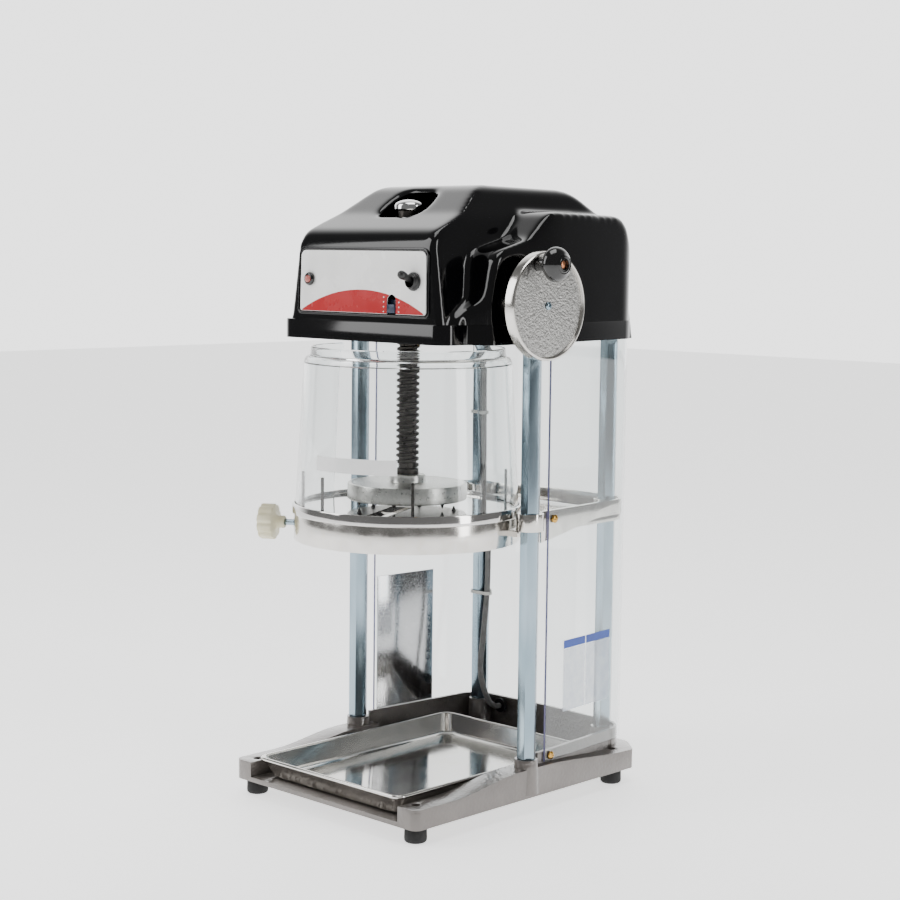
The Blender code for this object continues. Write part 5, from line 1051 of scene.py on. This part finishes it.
# %% [markdown]
# The screws are brass, with a low domed head and a slot. The slot is cut with a thin block.

# %% Cover screws
SCREW_HEAD_RADIUS = 0.0040
for number in range(1, 5):
    name = "cover_screw_%d" % number
    low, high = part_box(name)
    middle = (low + high) / 2
    side = 1 if middle.x > MACHINE_X else -1
    outer = high.x if side > 0 else low.x
    inner = low.x if side > 0 else high.x
    shank = abs(outer - inner) - 0.0022
    profile = [(0, 0), (0.0020, 0), (0.0020, shank), (SCREW_HEAD_RADIUS - 0.0003, shank),
               (SCREW_HEAD_RADIUS, shank + 0.0003), (SCREW_HEAD_RADIUS, shank + 0.0007),
               (SCREW_HEAD_RADIUS * 0.85, shank + 0.0014), (SCREW_HEAD_RADIUS * 0.55, shank + 0.0020),
               (0, shank + 0.0022)]
    screw = turned("brass_" + name, profile, Vector((inner, middle.y, middle.z)), (side, 0, 0), 40)
    notch = box_piece("notch", (outer - 0.0010, middle.y - 0.005, middle.z - 0.0005),
                      (outer + 0.0010, middle.y + 0.005, middle.z + 0.0005))
    turned_about(notch, middle, 25 + 40 * number)
    merged(screw, "DIFFERENCE", notch)
    smoothed(screw, CREASE)
    dress(screw, brass_bar, "brass", "frame", name)

# %% [markdown]
# A bright film plate stands inside the left wall and throws light on the ice. On the right wall
# are two blank stickers, clear with a blue band along the top. A sticker is a thin plate that
# follows the wall.

# %% Film plate and stickers
plate = copy_of("film_plate", "film_plate_bright")
eased(plate, 0.0002)
dress(plate, film, "bright_film", "frame", "film_plate")

sticker_blue = surface("blue_vinyl_film", "1F3F96", "2C4FA8", 12.0, (0.35, 0.5))
sticker_clear = surface("frosted_vinyl_film", "C9D3E2", "E6EBF2", 6.0, 0.4, IOR=1.45, Alpha=0.42)
STICKER = 0.00012
STICKER_GAP = 0.00025
STICKER_SPANS = ((0.040, 0.076), (0.0775, 0.118))
STICKER_BANDS = ((0.150, 0.158, sticker_blue), (0.088, 0.1495, sticker_clear))
wall_x = OUTLINE_HALF_FRONT + GAP + COVER_SHEET
for start, end in STICKER_SPANS:
    for low_z, high_z, finish in STICKER_BANDS:
        corners = [(start, low_z), (end, low_z), (end, high_z), (start, high_z)]
        points = [at(wall_x - (y - OUTLINE_FRONT) * SIDE_SLOPE + STICKER_GAP, y, z)
                  for y, z in corners]
        piece = slab("cover_sticker", points, (STICKER, 0, 0))
        dress(piece, finish, "printed_panel", "frame")
print("cover, screws, film plate and stickers made")

# %% [markdown]
# ## Press plate and lead screw
# The lead screw has a trapezoidal thread: flat crests, sloping flanks and a pitch of 6 mm. One
# turn of its profile is drawn as a line, and the Screw modifier winds it upwards along the axis,
# which makes a real helix instead of rings. The plain ends are turned and stand inside it.

# %% Lead screw
SCREW_RADIUS = 0.0112
THREAD_PITCH = 0.0060
THREAD_DEPTH = 0.0026
THREAD_START = 0.004
PLATE_LOW = 0.294
PLATE_TOP = 0.310
HUB_TOP = 0.318
SCREW_TOP = 0.569
THREAD_TURNS = 39
THREAD_MERGE = 0.000005
thread_root = SCREW_RADIUS - THREAD_DEPTH
pitch_line = [(thread_root, 0.0), (thread_root, 0.28), (SCREW_RADIUS - 0.0002, 0.44),
              (SCREW_RADIUS, 0.47), (SCREW_RADIUS, 0.81), (SCREW_RADIUS - 0.0002, 0.84),
              (thread_root, 1.0)]
thread = drawn("screw_thread", [(radius, 0, share * THREAD_PITCH) for radius, share in pitch_line],
               filled=False)
shaped(thread, "SCREW", axis="Z", angle=tau, screw_offset=THREAD_PITCH, iterations=THREAD_TURNS,
       steps=40, render_steps=40, use_merge_vertices=True, use_normal_calculate=True)
close_up(thread, THREAD_MERGE)
settle(thread, Matrix.Translation(at(0, SCREW_Y, HUB_TOP + THREAD_START)))
smoothed(thread, CREASE)
dress(thread, oiled_steel, "oiled_steel", "spindle", "lead_screw")
core_profile = [(0, PLATE_TOP - 0.005), (thread_root - 0.0004, PLATE_TOP - 0.005),
                (thread_root - 0.0004, HUB_TOP - 0.001), (SCREW_RADIUS - 0.0006, HUB_TOP - 0.001),
                (SCREW_RADIUS - 0.0002, HUB_TOP), (SCREW_RADIUS - 0.0002, HUB_TOP + 0.0048),
                (SCREW_RADIUS - 0.0008, HUB_TOP + 0.0054), (thread_root + 0.0001, HUB_TOP + 0.0060),
                (thread_root + 0.0001, SCREW_TOP - 0.016), (SCREW_RADIUS - 0.0008, SCREW_TOP - 0.0154),
                (SCREW_RADIUS - 0.0002, SCREW_TOP - 0.0150), (SCREW_RADIUS - 0.0002, SCREW_TOP - 0.0006),
                (SCREW_RADIUS - 0.0008, SCREW_TOP), (0, SCREW_TOP)]
core = turned("screw_core", core_profile, screw_foot, steps=48)
smoothed(core, CREASE)
dress(core, oiled_steel, "oiled_steel", "spindle")
low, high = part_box("lead_screw")
print("screw in CAD %.4f to %.4f m" % (low.z, high.z))

# %% [markdown]
# The press plate is turned from aluminium bar and holds the ice with six points. Fine turning
# grooves run round its top face. They are real rings in the profile, 0.15 mm deep and coarser
# than on the part, so that they show.

# %% Press plate
PLATE_RADIUS = 0.0575
GROOVES = 11
GROOVE_STEP = 0.0029
GROOVE_DEPTH = 0.00015
POINTS = 6
POINT_CIRCLE = 0.047
plate_profile = [(0, PLATE_LOW), (PLATE_RADIUS - 0.0010, PLATE_LOW), (PLATE_RADIUS, PLATE_LOW + 0.0010),
                 (PLATE_RADIUS, PLATE_TOP - 0.0014), (PLATE_RADIUS - 0.0004, PLATE_TOP - 0.0004),
                 (PLATE_RADIUS - 0.0014, PLATE_TOP)]
for k in range(GROOVES):
    radius = PLATE_RADIUS - 0.006 - k * GROOVE_STEP
    plate_profile += [(radius + 0.0004, PLATE_TOP), (radius, PLATE_TOP - GROOVE_DEPTH),
                      (radius - 0.0004, PLATE_TOP)]
plate_profile += [(0.0192, PLATE_TOP), (0.0181, PLATE_TOP + 0.0003), (0.0176, PLATE_TOP + 0.0012),
                  (0.0175, HUB_TOP - 0.0008), (0.0167, HUB_TOP - 0.0001), (0.0115, HUB_TOP - 0.0001),
                  (0.0115, PLATE_TOP - 0.006), (0, PLATE_TOP - 0.006)]
press = turned("turned_press_plate", plate_profile, screw_foot, steps=96)
smoothed(press, 32)
dress(press, machined, "machined_aluminium", "spindle", "press_plate")
point_profile = [(0, PLATE_LOW + 0.001), (0.0022, PLATE_LOW + 0.001), (0.0022, PLATE_LOW - 0.0008),
                 (0.0005, PLATE_LOW - 0.0052), (0.0002, PLATE_LOW - 0.0055), (0, PLATE_LOW - 0.0055)]
for k in range(POINTS):
    turn = tau * k / POINTS
    spot = at(POINT_CIRCLE * cos(turn), SCREW_Y + POINT_CIRCLE * sin(turn), 0)
    point = turned("ice_point", point_profile, spot, steps=24)
    smoothed(point, CREASE)
    dress(point, oiled_steel, "machined_aluminium", "spindle")
print("press plate", len(press.data.polygons), "faces")

# %% [markdown]
# The cap on the screw's top end is what shows in the eye of the head: a chromed dome with a small
# hole. Its profile is an ellipse, closed in the middle by the hole.

# %% Screw cap
CAP_RADIUS = 0.0145
CAP_HEIGHT = 0.0100
CAP_EDGE = 0.0036
cap_low = SCREW_TOP + GAP
cap_profile = [(0, cap_low), (CAP_RADIUS - 0.0008, cap_low), (CAP_RADIUS, cap_low + 0.0008),
               (CAP_RADIUS, cap_low + CAP_EDGE)]
cap_profile += [(CAP_RADIUS * cos(radians(t)),
                 cap_low + CAP_EDGE + (CAP_HEIGHT - CAP_EDGE) * sin(radians(t)))
                for t in range(10, 76, 8)]
cap_profile += [(0.0031, cap_low + CAP_HEIGHT - 0.0001), (0.0026, cap_low + CAP_HEIGHT - 0.0006),
                (0.0025, cap_low + CAP_HEIGHT - 0.0022), (0, cap_low + CAP_HEIGHT - 0.0022)]
cap = turned("chromed_cap", cap_profile, screw_foot, steps=72)
smoothed(cap, CREASE)
dress(cap, chrome_plate, "chrome", "spindle", "screw_cap")
print("spindle made")

# %% [markdown]
# ## Handwheel
# The handwheel lowers and lifts the press plate. It is an aluminium casting, turned and polished
# on its rim, with a pebbled face. The body is spun from its profile. The pebbled face is a disc of
# its own with a slightly wavy skin, so that the pebbles are in the mesh and not only in the light.

# %% Handwheel
WHEEL_Y = -0.035
WHEEL_Z = 0.4826
WHEEL_RADIUS = 0.0500
WHEEL_FACE = 0.1570
WHEEL_THICKNESS = 0.0115
WHEEL_DISH = 0.0025
WHEEL_BACK = WHEEL_FACE - WHEEL_THICKNESS
HUB_START = 0.1315
FACE_RINGS = 46
FACE_HOLE = 0.0024
PEBBLE_RISE = 0.00034
wheel_dish = WHEEL_FACE - WHEEL_DISH
wheel_profile = [(0.0053, HUB_START), (0.0098, HUB_START), (0.0104, 0.1321), (0.0115, WHEEL_BACK + 0.003),
                 (WHEEL_RADIUS - 0.0040, WHEEL_BACK + 0.0030), (WHEEL_RADIUS - 0.0034, WHEEL_BACK + 0.0008),
                 (WHEEL_RADIUS - 0.0024, WHEEL_BACK), (WHEEL_RADIUS - 0.0012, WHEEL_BACK + 0.0003),
                 (WHEEL_RADIUS, WHEEL_BACK + 0.0016), (WHEEL_RADIUS, WHEEL_FACE - 0.0018),
                 (WHEEL_RADIUS - 0.0003, WHEEL_FACE - 0.0008), (WHEEL_RADIUS - 0.0010, WHEEL_FACE - 0.0001),
                 (WHEEL_RADIUS - 0.0020, WHEEL_FACE), (WHEEL_RADIUS - 0.0026, WHEEL_FACE - 0.0004),
                 (WHEEL_RADIUS - 0.0034, wheel_dish - 0.0006), (0.0023, wheel_dish - 0.0006),
                 (0.0023, wheel_dish - 0.0037), (0.0053, wheel_dish - 0.0037), (0.0053, HUB_START)]
wheel_centre = at(0, WHEEL_Y, WHEEL_Z)
dish_centre = at(wheel_dish, WHEEL_Y, WHEEL_Z)
wheel = turned("polished_wheel", wheel_profile, wheel_centre, (1, 0, 0), 144)
smoothed(wheel, CREASE)
dress(wheel, polished_cast, "machined_aluminium", "wheel", "handwheel")

face_profile = [(FACE_HOLE, -0.0005)]
face_profile += [(FACE_HOLE + (WHEEL_RADIUS - 0.0060) * k / FACE_RINGS, 0.0)
                 for k in range(FACE_RINGS + 1)]
face_profile += [(WHEEL_RADIUS - 0.0035, -0.0004), (WHEEL_RADIUS - 0.0035, -0.0006),
                 (FACE_HOLE, -0.0006), (FACE_HOLE, -0.0005)]
face = turned("pebbled_face", face_profile, (0, 0, 0), steps=260)
pebble_texture = bpy.data.textures.new("pebbles", "VORONOI")
pebble_texture.noise_scale = PEBBLE_MM / PER_METRE
pebble_texture.distance_metric = "DISTANCE"
grip = face.vertex_groups.new(name="grip")
grip.add([v.index for v in face.data.vertices if v.co.z > -0.0001], 1.0, "REPLACE")
shaped(face, "DISPLACE", texture=pebble_texture, strength=-PEBBLE_RISE, mid_level=0.25,
       direction="Z", vertex_group="grip")
settle(face, aimed((1, 0, 0), dish_centre))
smoothed(face, 60)
dress(face, pebbled, "machined_aluminium", "wheel")
print("pebbled face", len(face.data.polygons), "faces")

screw_profile = [(0, -0.0036), (0.0020, -0.0036), (0.0020, 0.0004), (0.0034, 0.0004), (0.0037, 0.0007),
                 (0.0036, 0.0012), (0.0030, 0.0019), (0.0018, 0.0024), (0, 0.0025)]
screw = turned("wheel_centre_screw", screw_profile, dish_centre, (1, 0, 0), 48)
for turn in (0, 90):
    tip = at(wheel_dish + 0.0024, WHEEL_Y, WHEEL_Z)
    half = Vector((0.0012, 0.0022, 0.0004))
    notch = box_piece("notch", tip - half, tip + half)
    turned_about(notch, tip, 20 + turn)
    merged(screw, "DIFFERENCE", notch)
smoothed(screw, CREASE)
dress(screw, zinc_plate, "zinc_plated_steel", "wheel", "wheel_screw")
paint(zinc_plate, "wheel_shaft")

# %% [markdown]
# The knob is a black phenolic mushroom that turns on its own pin. Turned rings run round the end
# of it, and a copper-coloured screw sits in the middle.

# %% Crank knob
CRANK_RADIUS = 0.040
CRANK_ANGLE = 110.0
KNOB_NECK = 0.015
KNOB_HEAD = 0.016
MUSHROOM_RADIUS = 0.0160
crank_turn = radians(CRANK_ANGLE)
crank = at(wheel_dish + 0.0004, WHEEL_Y + CRANK_RADIUS * cos(crank_turn),
           WHEEL_Z + CRANK_RADIUS * sin(crank_turn))
top = KNOB_NECK + KNOB_HEAD
mushroom = [(0.0034, 0.0), (0.0060, 0.0), (0.0065, 0.0005), (0.0064, 0.0030), (0.0058, 0.0070),
            (0.0060, 0.0105), (0.0085, 0.0132), (0.0125, 0.0146), (0.0148, 0.0160), (0.0158, 0.0180)]
mushroom += [(MUSHROOM_RADIUS * cos(radians(t)) ** 0.75, KNOB_NECK + 0.0045
              + (KNOB_HEAD - 0.0050) * sin(radians(t))) for t in range(0, 61, 10)]
mushroom += [(0.0086, top - 0.0011), (0.0080, top - 0.0016), (0.0074, top - 0.0009), (0.0064, top - 0.0005),
             (0.0058, top - 0.0010), (0.0052, top - 0.0005), (0.0046, top - 0.0005), (0.0042, top - 0.0030),
             (0.0034, top - 0.0030), (0.0034, 0.0)]
knob = turned("mushroom_knob", mushroom, crank, (1, 0, 0), 80)
smoothed(knob, CREASE)
dress(knob, black_phenolic, "gloss_black_plastic", "crank_knob", "crank_knob")
pin_profile = [(0, -0.0010), (0.0030, -0.0010), (0.0030, top - 0.0042), (0.0037, top - 0.0040),
               (0.0038, top - 0.0026), (0.0030, top - 0.0020), (0, top - 0.0018)]
pin = turned("knob_pin", pin_profile, crank, (1, 0, 0), 40)
smoothed(pin, CREASE)
dress(pin, copper_screw, "machined_aluminium", "wheel")
print("handwheel and knob made")

# %% [markdown]
# ## Head
# The head is one glossy moulding. A long nose, which carries the panel, runs from front to back,
# and a wider body, lower in front, covers the gears and the motor. Each is one view extruded,
# then cut to a second view with an intersecting boolean. Joined, they are voxel remeshed and
# smoothed. The remesh turns every hard corner into the soft fillet of a moulding.

# %% Outlines of the head
HEAD_LIP_TOP = 0.465
HEAD_WALL = 0.003
LIP_STEP = 0.0012
HEAD_FRONT = -0.124
HEAD_REAR = 0.158
HEAD_TOP = 0.595
FACE_FRONT = HEAD_FRONT + 0.003
FACE_TOP = 0.5460
FACE_LEAN = 0.0015
NOSE_HALF = 0.1085
SIDE_HALF = 0.1285
SIDE_HALF_REAR = 0.106
SIDE_FRONT = -0.086
SIDE_MID_Y = 0.005
SIDE_TOP = 0.567
LEDGE_TOP = 0.5335
BELOW = HEAD_BOTTOM - 0.012
ACROSS = 0.13
ALONG = 0.2


def section(name, outline, low, high, axis):
    """An outline drawn across an axis and extruded along it."""
    place = {"X": lambda a, b: at(low, a, b), "Y": lambda a, b: at(a, low, b),
             "Z": lambda a, b: at(a, b, low)}[axis]
    step = [high - low if axis == letter else 0.0 for letter in "XYZ"]
    return slab(name, [place(a, b) for a, b in outline], step)


def closed_moved(corners, distance):
    """A closed outline, run anticlockwise, drawn in by a distance."""
    points = []
    for i in range(len(corners)):
        p = Vector(corners[i])
        before = (p - Vector(corners[i - 1])).normalized()
        after = (Vector(corners[(i + 1) % len(corners)]) - p).normalized()
        normal = Vector((-before.y, before.x))
        middle = (normal + Vector((-after.y, after.x))).normalized()
        points.append(tuple(p + middle * (distance / middle.dot(normal))))
    return points


def head_plan(inset):
    """The head seen from above, drawn in by a distance."""
    half = [(NOSE_HALF, HEAD_FRONT), (NOSE_HALF, SIDE_FRONT - 0.006), (SIDE_HALF, SIDE_FRONT + 0.004),
            (SIDE_HALF - 0.001, SIDE_MID_Y), (SIDE_HALF_REAR, HEAD_REAR)]
    corners = half + [(-x, y) for x, y in reversed(half)]
    radii = [0.014 - inset, 0.006 + inset, 0.010 - inset, 0.2, 0.030 - inset]
    return rounded(closed_moved(corners, inset), radii + radii[::-1], 8)


def nose(inset, low):
    """The nose: its side view extruded across, cut to its front view."""
    side = [(FACE_FRONT, HEAD_BOTTOM), (HEAD_FRONT + 0.0045, FACE_TOP), (SCREW_Y - 0.016, 0.5660),
            (SCREW_Y + 0.024, 0.5935), (0.0950, 0.5915), (0.1500, 0.5480), (HEAD_REAR - 0.001, HEAD_BOTTOM)]
    side = rounded(moved_path(side, inset), [0, 0.022, 0.05, 0.035, 0.05, 0.05, 0], 12)
    side = [(side[0][0], low)] + side[1:-1] + [(side[-1][0], low)]
    front = [(-NOSE_HALF + 0.003, HEAD_BOTTOM), (-0.0875, 0.5600), (-0.0640, HEAD_TOP + 0.004),
             (0.0640, HEAD_TOP + 0.004), (0.0875, 0.5600), (NOSE_HALF - 0.003, HEAD_BOTTOM)]
    front = rounded(moved_path(front, inset), [0, 0.03, 0.03, 0.03, 0.03, 0], 10)
    front = [(front[0][0], low)] + front[1:-1] + [(front[-1][0], low)]
    body = section("head_nose", side, -ACROSS, ACROSS, "X")
    return merged(body, "INTERSECT", section("nose_front", front, -ALONG, ALONG, "Y"))


def sides(inset, low):
    """The wide body: its top view extruded up, cut to its side view."""
    profile = [(SIDE_FRONT - 0.030, HEAD_BOTTOM), (SIDE_FRONT - 0.018, 0.4720), (SIDE_FRONT + 0.002, 0.4860),
               (SIDE_FRONT + 0.010, LEDGE_TOP - 0.003), (-0.0300, LEDGE_TOP + 0.009),
               (0.0000, SIDE_TOP + 0.002), (0.1300, SIDE_TOP), (0.1530, 0.5300), (HEAD_REAR, HEAD_BOTTOM)]
    profile = rounded(moved_path(profile, inset),
                      [0, 0.02, 0.02, 0.022, 0.022, 0.022, 0.03, 0.03, 0], 10)
    profile = [(profile[0][0], low)] + profile[1:-1] + [(profile[-1][0], low)]
    body = section("head_sides", head_plan(inset), low - 0.001, HEAD_TOP, "Z")
    return merged(body, "INTERSECT", section("sides_view", profile, -ALONG, ALONG, "X"))


# %% [markdown]
# The eye on top, through which the screw rises, is cut before the remesh, so its edge comes out
# as rounded as on the real moulding.

# %% Outer skin
VOXEL = 0.0017
EYE_WIDTH = 0.062
EYE_FRONT = -0.079
EYE_REAR = -0.040
EYE_FLOOR = 0.545
EYE_OVER = 0.70
SMOOTHINGS = 60
eye = rounded([(-EYE_WIDTH / 2, EYE_FRONT), (EYE_WIDTH / 2, EYE_FRONT),
               (EYE_WIDTH / 2 - 0.008, EYE_REAR), (-EYE_WIDTH / 2 + 0.008, EYE_REAR)], [0.015] * 4, 10)
head = merged(nose(0.0, BELOW), "UNION", sides(0.0, BELOW - 0.001))
merged(head, "DIFFERENCE", section("eye", eye, EYE_FLOOR, EYE_OVER, "Z"))
head.name = "head_shell"
shaped(head, "REMESH", mode="VOXEL", voxel_size=VOXEL, use_smooth_shade=True)
shaped(head, "SMOOTH", factor=0.5, iterations=SMOOTHINGS)
print("outer skin", len(head.data.polygons), "faces")

# %% [markdown]
# Round the foot of the head runs a lip, a flat band that stands out by 1.2 mm with a crisp
# step. It is added after the remesh, so the step stays crisp. Then the inside is taken out, the
# bottom is cut flat and the holes for the controls and the wheel are cut.

# %% Lip, inside and holes
PANEL_LEAN = FACE_LEAN / (FACE_TOP - HEAD_BOTTOM)
CONTROL_Z = 0.5033
LAMP_X = -0.0702
SWITCH_X = 0.0695
SLOT_X = 0.0402
SLOT_HALF = 0.006
SLOT_LOW = 0.473
SLOT_HIGH = 0.491
SLOT_CUT = (-0.15, -0.10)
LAMP_HOLE = 0.0043
SWITCH_HOLE = 0.0063


def face_y(z):
    """The nose's front face leans back a little."""
    return FACE_FRONT + (z - HEAD_BOTTOM) * PANEL_LEAN


def slot_line(half, low, high):
    """The slider's slot, with a round top."""
    arch = [(SLOT_X + half * cos(radians(t)), high - half + half * sin(radians(t)))
            for t in range(0, 181, 15)]
    return [(SLOT_X - half, low), (SLOT_X + half, low)] + arch


lip = section("head_lip", head_plan(-LIP_STEP), BELOW, HEAD_LIP_TOP, "Z")
shaped(lip, "BEVEL", width=0.0007, segments=2, limit_method="ANGLE", angle_limit=radians(50))
merged(head, "UNION", lip)
inside = merged(nose(HEAD_WALL, BELOW - 0.003), "UNION", sides(HEAD_WALL, BELOW - 0.004),
                section("lip_inside", head_plan(HEAD_WALL - LIP_STEP), BELOW - 0.005,
                        HEAD_LIP_TOP - HEAD_WALL, "Z"))
merged(head, "DIFFERENCE", inside)
cutters = [box_piece("under", (-0.3, -0.3, BELOW - 0.02), (0.3, 0.3, HEAD_BOTTOM)),
           drill("lamp_hole", LAMP_HOLE, 0.01, at(LAMP_X, face_y(CONTROL_Z), CONTROL_Z), (0, 1, 0)),
           drill("switch_hole", SWITCH_HOLE, 0.01, at(SWITCH_X, face_y(CONTROL_Z), CONTROL_Z),
                 (0, 1, 0)),
           section("slot_hole", slot_line(SLOT_HALF, SLOT_LOW, SLOT_HIGH), *SLOT_CUT, "Y"),
           drill("wheel_hole", 0.012, 0.04, at(0.12, WHEEL_Y, WHEEL_Z), (1, 0, 0), 48)]
merged(head, "DIFFERENCE", *cutters)
smoothed(head, 34)
dress(head, gloss_black, "gloss_black_plastic", "frame", "head_cover")
print("head shell", len(head.data.polygons), "faces")

# %% [markdown]
# The panel is a white printed plate with a red segment of a circle along its foot. It lies inside
# a raised black border with round top corners. The red field is a thin plate of its own, cut to
# the circle, so the print needs no picture.

# %% Panel and its border
PANEL_HALF = 0.0845
PANEL_LOW = 0.473
PANEL_HIGH = 0.5305
PANEL_SHEET = 0.0010
PANEL_CORNER = 0.0060
RED_PEAK = 0.4945
RED_STEPS = 24
panel_front = FACE_FRONT - PANEL_SHEET - GAP


def leaned(obj):
    """Leans a piece drawn upright back with the nose's front face."""
    for vertex in obj.data.vertices:
        vertex.co.y += (vertex.co.z - HEAD_BOTTOM) * PANEL_LEAN
    return obj


def holed(obj):
    """Cuts the holes for the lamp, the switch and the slider."""
    tools = [drill("hole", radius, 0.01, at(x, panel_front, CONTROL_Z), (0, 1, 0), 40)
             for x, radius in ((LAMP_X, LAMP_HOLE), (SWITCH_X, SWITCH_HOLE))]
    tools.append(section("slot", slot_line(SLOT_HALF, SLOT_LOW - 0.01, SLOT_HIGH), *SLOT_CUT, "Y"))
    return merged(obj, "DIFFERENCE", *tools)


panel_corners = [(-PANEL_HALF, PANEL_LOW), (PANEL_HALF, PANEL_LOW),
                 (PANEL_HALF - 0.001, PANEL_HIGH), (-PANEL_HALF + 0.001, PANEL_HIGH)]
panel_line = rounded(panel_corners, [0.003, 0.003, PANEL_CORNER, PANEL_CORNER], 8)
panel = section("printed_panel", panel_line, panel_front, panel_front + PANEL_SHEET, "Y")
leaned(holed(panel))
panel_white = surface("white_screen_printed_film", "ECECEA", "F6F6F5", 14.0, (0.22, 0.32), 0.0)
dress(panel, panel_white, "printed_panel", "frame", "control_panel")

half_chord = PANEL_HALF - 0.0004
rise = RED_PEAK - PANEL_LOW
circle = (half_chord ** 2 + rise ** 2) / (2 * rise)
red_line = [(x, RED_PEAK - circle + sqrt(circle ** 2 - x * x))
            for x in [half_chord * (1 - k / RED_STEPS) for k in range(2 * RED_STEPS + 1)]]
red_line = [(x, max(z, PANEL_LOW + 0.0005)) for x, z in red_line]
red_foot = [(-half_chord + 0.002, PANEL_LOW + 0.0003), (half_chord - 0.002, PANEL_LOW + 0.0003)]
red = section("red_field", red_foot + red_line[1:-1], panel_front - 0.00012, panel_front + 0.0002, "Y")
leaned(holed(red))
red_ink = surface("red_screen_print_ink", "A6060E", "AA0810", 8.0, (0.22, 0.32), 0.0)
dress(red, red_ink, "printed_panel", "frame")

BORDER_OUT = 0.0034
BORDER_IN = 0.0008
outer_line = rounded(closed_moved(panel_corners, -BORDER_OUT), [0.005, 0.005, 0.0085, 0.0085], 8)
inner_line = rounded(closed_moved(panel_corners, -BORDER_IN), [0.0035, 0.0035, 0.0065, 0.0065], 8)
border = section("panel_border", outer_line, HEAD_FRONT + 0.0014, HEAD_FRONT + 0.0042, "Y")
merged(border, "DIFFERENCE", section("border_inside", inner_line, -0.14, -0.11, "Y"))
eased(border, 0.0006, 3, 40)
leaned(border)
dress(border, gloss_black, "gloss_black_plastic", "frame")
print("panel, red field and border made")

# %% [markdown]
# Small white dots mark the slider's places. Each is a flat disc, spun from a short profile.

# %% Dots beside the slot
DOT_RADIUS = 0.00065
DOT_HEIGHT = 0.0003
DOT_START = 0.0022
DOT_STEP = 0.0044
DOT_AWAY = 0.0040
for side in (-1, 1):
    for k in range(4):
        z = SLOT_LOW + DOT_START + DOT_STEP * k
        place = at(SLOT_X + side * (SLOT_HALF + DOT_AWAY), panel_front + (z - HEAD_BOTTOM) * PANEL_LEAN, z)
        dot = turned("scale_dot", [(0, 0), (DOT_RADIUS, 0), (DOT_RADIUS, DOT_HEIGHT), (0, DOT_HEIGHT)],
                     place, (0, -1, 0), 16)
        dress(dot, panel_white, "printed_panel", "frame")

# %% [markdown]
# The pilot lamp has a pale red lens in a black ring. The toggle switch is closed with a black
# boot, ribbed at its foot, and its lever gets thicker towards the round tip. Both are turned.

# %% Lamp, switch and slider
control_y = face_y(CONTROL_Z) - PANEL_SHEET - 0.0006
lamp_place = at(LAMP_X, control_y, CONTROL_Z)
bezel_profile = [(0, -0.010), (0.0040, -0.010), (0.0040, 0.0003), (0.0060, 0.0003), (0.0063, 0.0006),
                 (0.0063, 0.0018), (0.0058, 0.0028), (0.0050, 0.0034), (0.0042, 0.0035),
                 (0.0037, 0.0030), (0.0037, 0.0010), (0, 0.0010)]
bezel = turned("lamp_ring", bezel_profile, lamp_place, (0, -1, 0), 64)
smoothed(bezel, 40)
dress(bezel, black_phenolic, "gloss_black_plastic", "frame", "lamp_bezel")
lens_profile = [(0, 0.0013), (0.0034, 0.0013), (0.0034, 0.0034)]
lens_profile += [(0.0034 * cos(radians(t)), 0.0034 + 0.0026 * sin(radians(t))) for t in range(12, 85, 12)]
lens_profile += [(0, 0.0060)]
lens = turned("lamp_lens", lens_profile, lamp_place, (0, -1, 0), 48)
smoothed(lens, 40)
dress(lens, lamp_red, "red_lens", "frame", "pilot_lamp")

switch_place = at(SWITCH_X, control_y, CONTROL_Z)
boot_profile = [(0, -0.016), (0.0060, -0.016), (0.0060, 0.0003), (0.0080, 0.0003), (0.0085, 0.0008),
                (0.0085, 0.0020), (0.0080, 0.0027), (0.0074, 0.0030), (0.0074, 0.0038), (0.0070, 0.0046),
                (0.0064, 0.0050), (0.0064, 0.0056), (0.0060, 0.0062), (0.0054, 0.0065), (0.0053, 0.0062),
                (0.0053, -0.0020), (0, -0.0020)]
boot = turned("switch_boot", boot_profile, switch_place, (0, -1, 0), 64)
smoothed(boot, 40)
dress(boot, satin_black, "gloss_black_plastic", "frame", "switch_body")
SWITCH_LEAN = 22.0
lever_axis = Vector((0, -cos(radians(SWITCH_LEAN)), sin(radians(SWITCH_LEAN))))
lever_profile = [(0, -0.0020), (0.0018, -0.0020), (0.0026, 0.0040), (0.0030, 0.0085), (0.0035, 0.0120),
                 (0.0039, 0.0145), (0.0039, 0.0168), (0.0034, 0.0184), (0.0025, 0.0194), (0.0012, 0.0199),
                 (0, 0.0200)]
lever = turned("switch_toggle", lever_profile, at(SWITCH_X, control_y - 0.001, CONTROL_Z), lever_axis, 48)
smoothed(lever, 50)
dress(lever, satin_black, "gloss_black_plastic", "switch_lever", "switch_lever")

slider = copy_of("speed_slider", "slider_button")
eased(slider, 0.0005, 2)
dress(slider, deep_blue, "dark_blue_plastic", "speed_slider", "speed_slider")
print("panel, lamp, switch and slider made")

# %% [markdown]
# ## Inside the head
# The drive can be seen through the eye and from below. Its CAD parts are fine enough as they are
# and only get surfaces: brass gears, a cloth-faced belt, an enamelled motor.

# %% Parts inside the head
paint(machined, "head_chassis", "bearing_stand", "shaft_bearing", "drive_pulley")
paint(brass_bar, "nut_gear", "idler_gear", "pinion_gear")
paint(belt_rubber, "drive_belt")
paint(motor_enamel, "motor")
paint(zinc_plate, "motor_pulley")
print("surfaces on CAD parts:", sum(1 for name in nodes if nodes[name].data.materials))
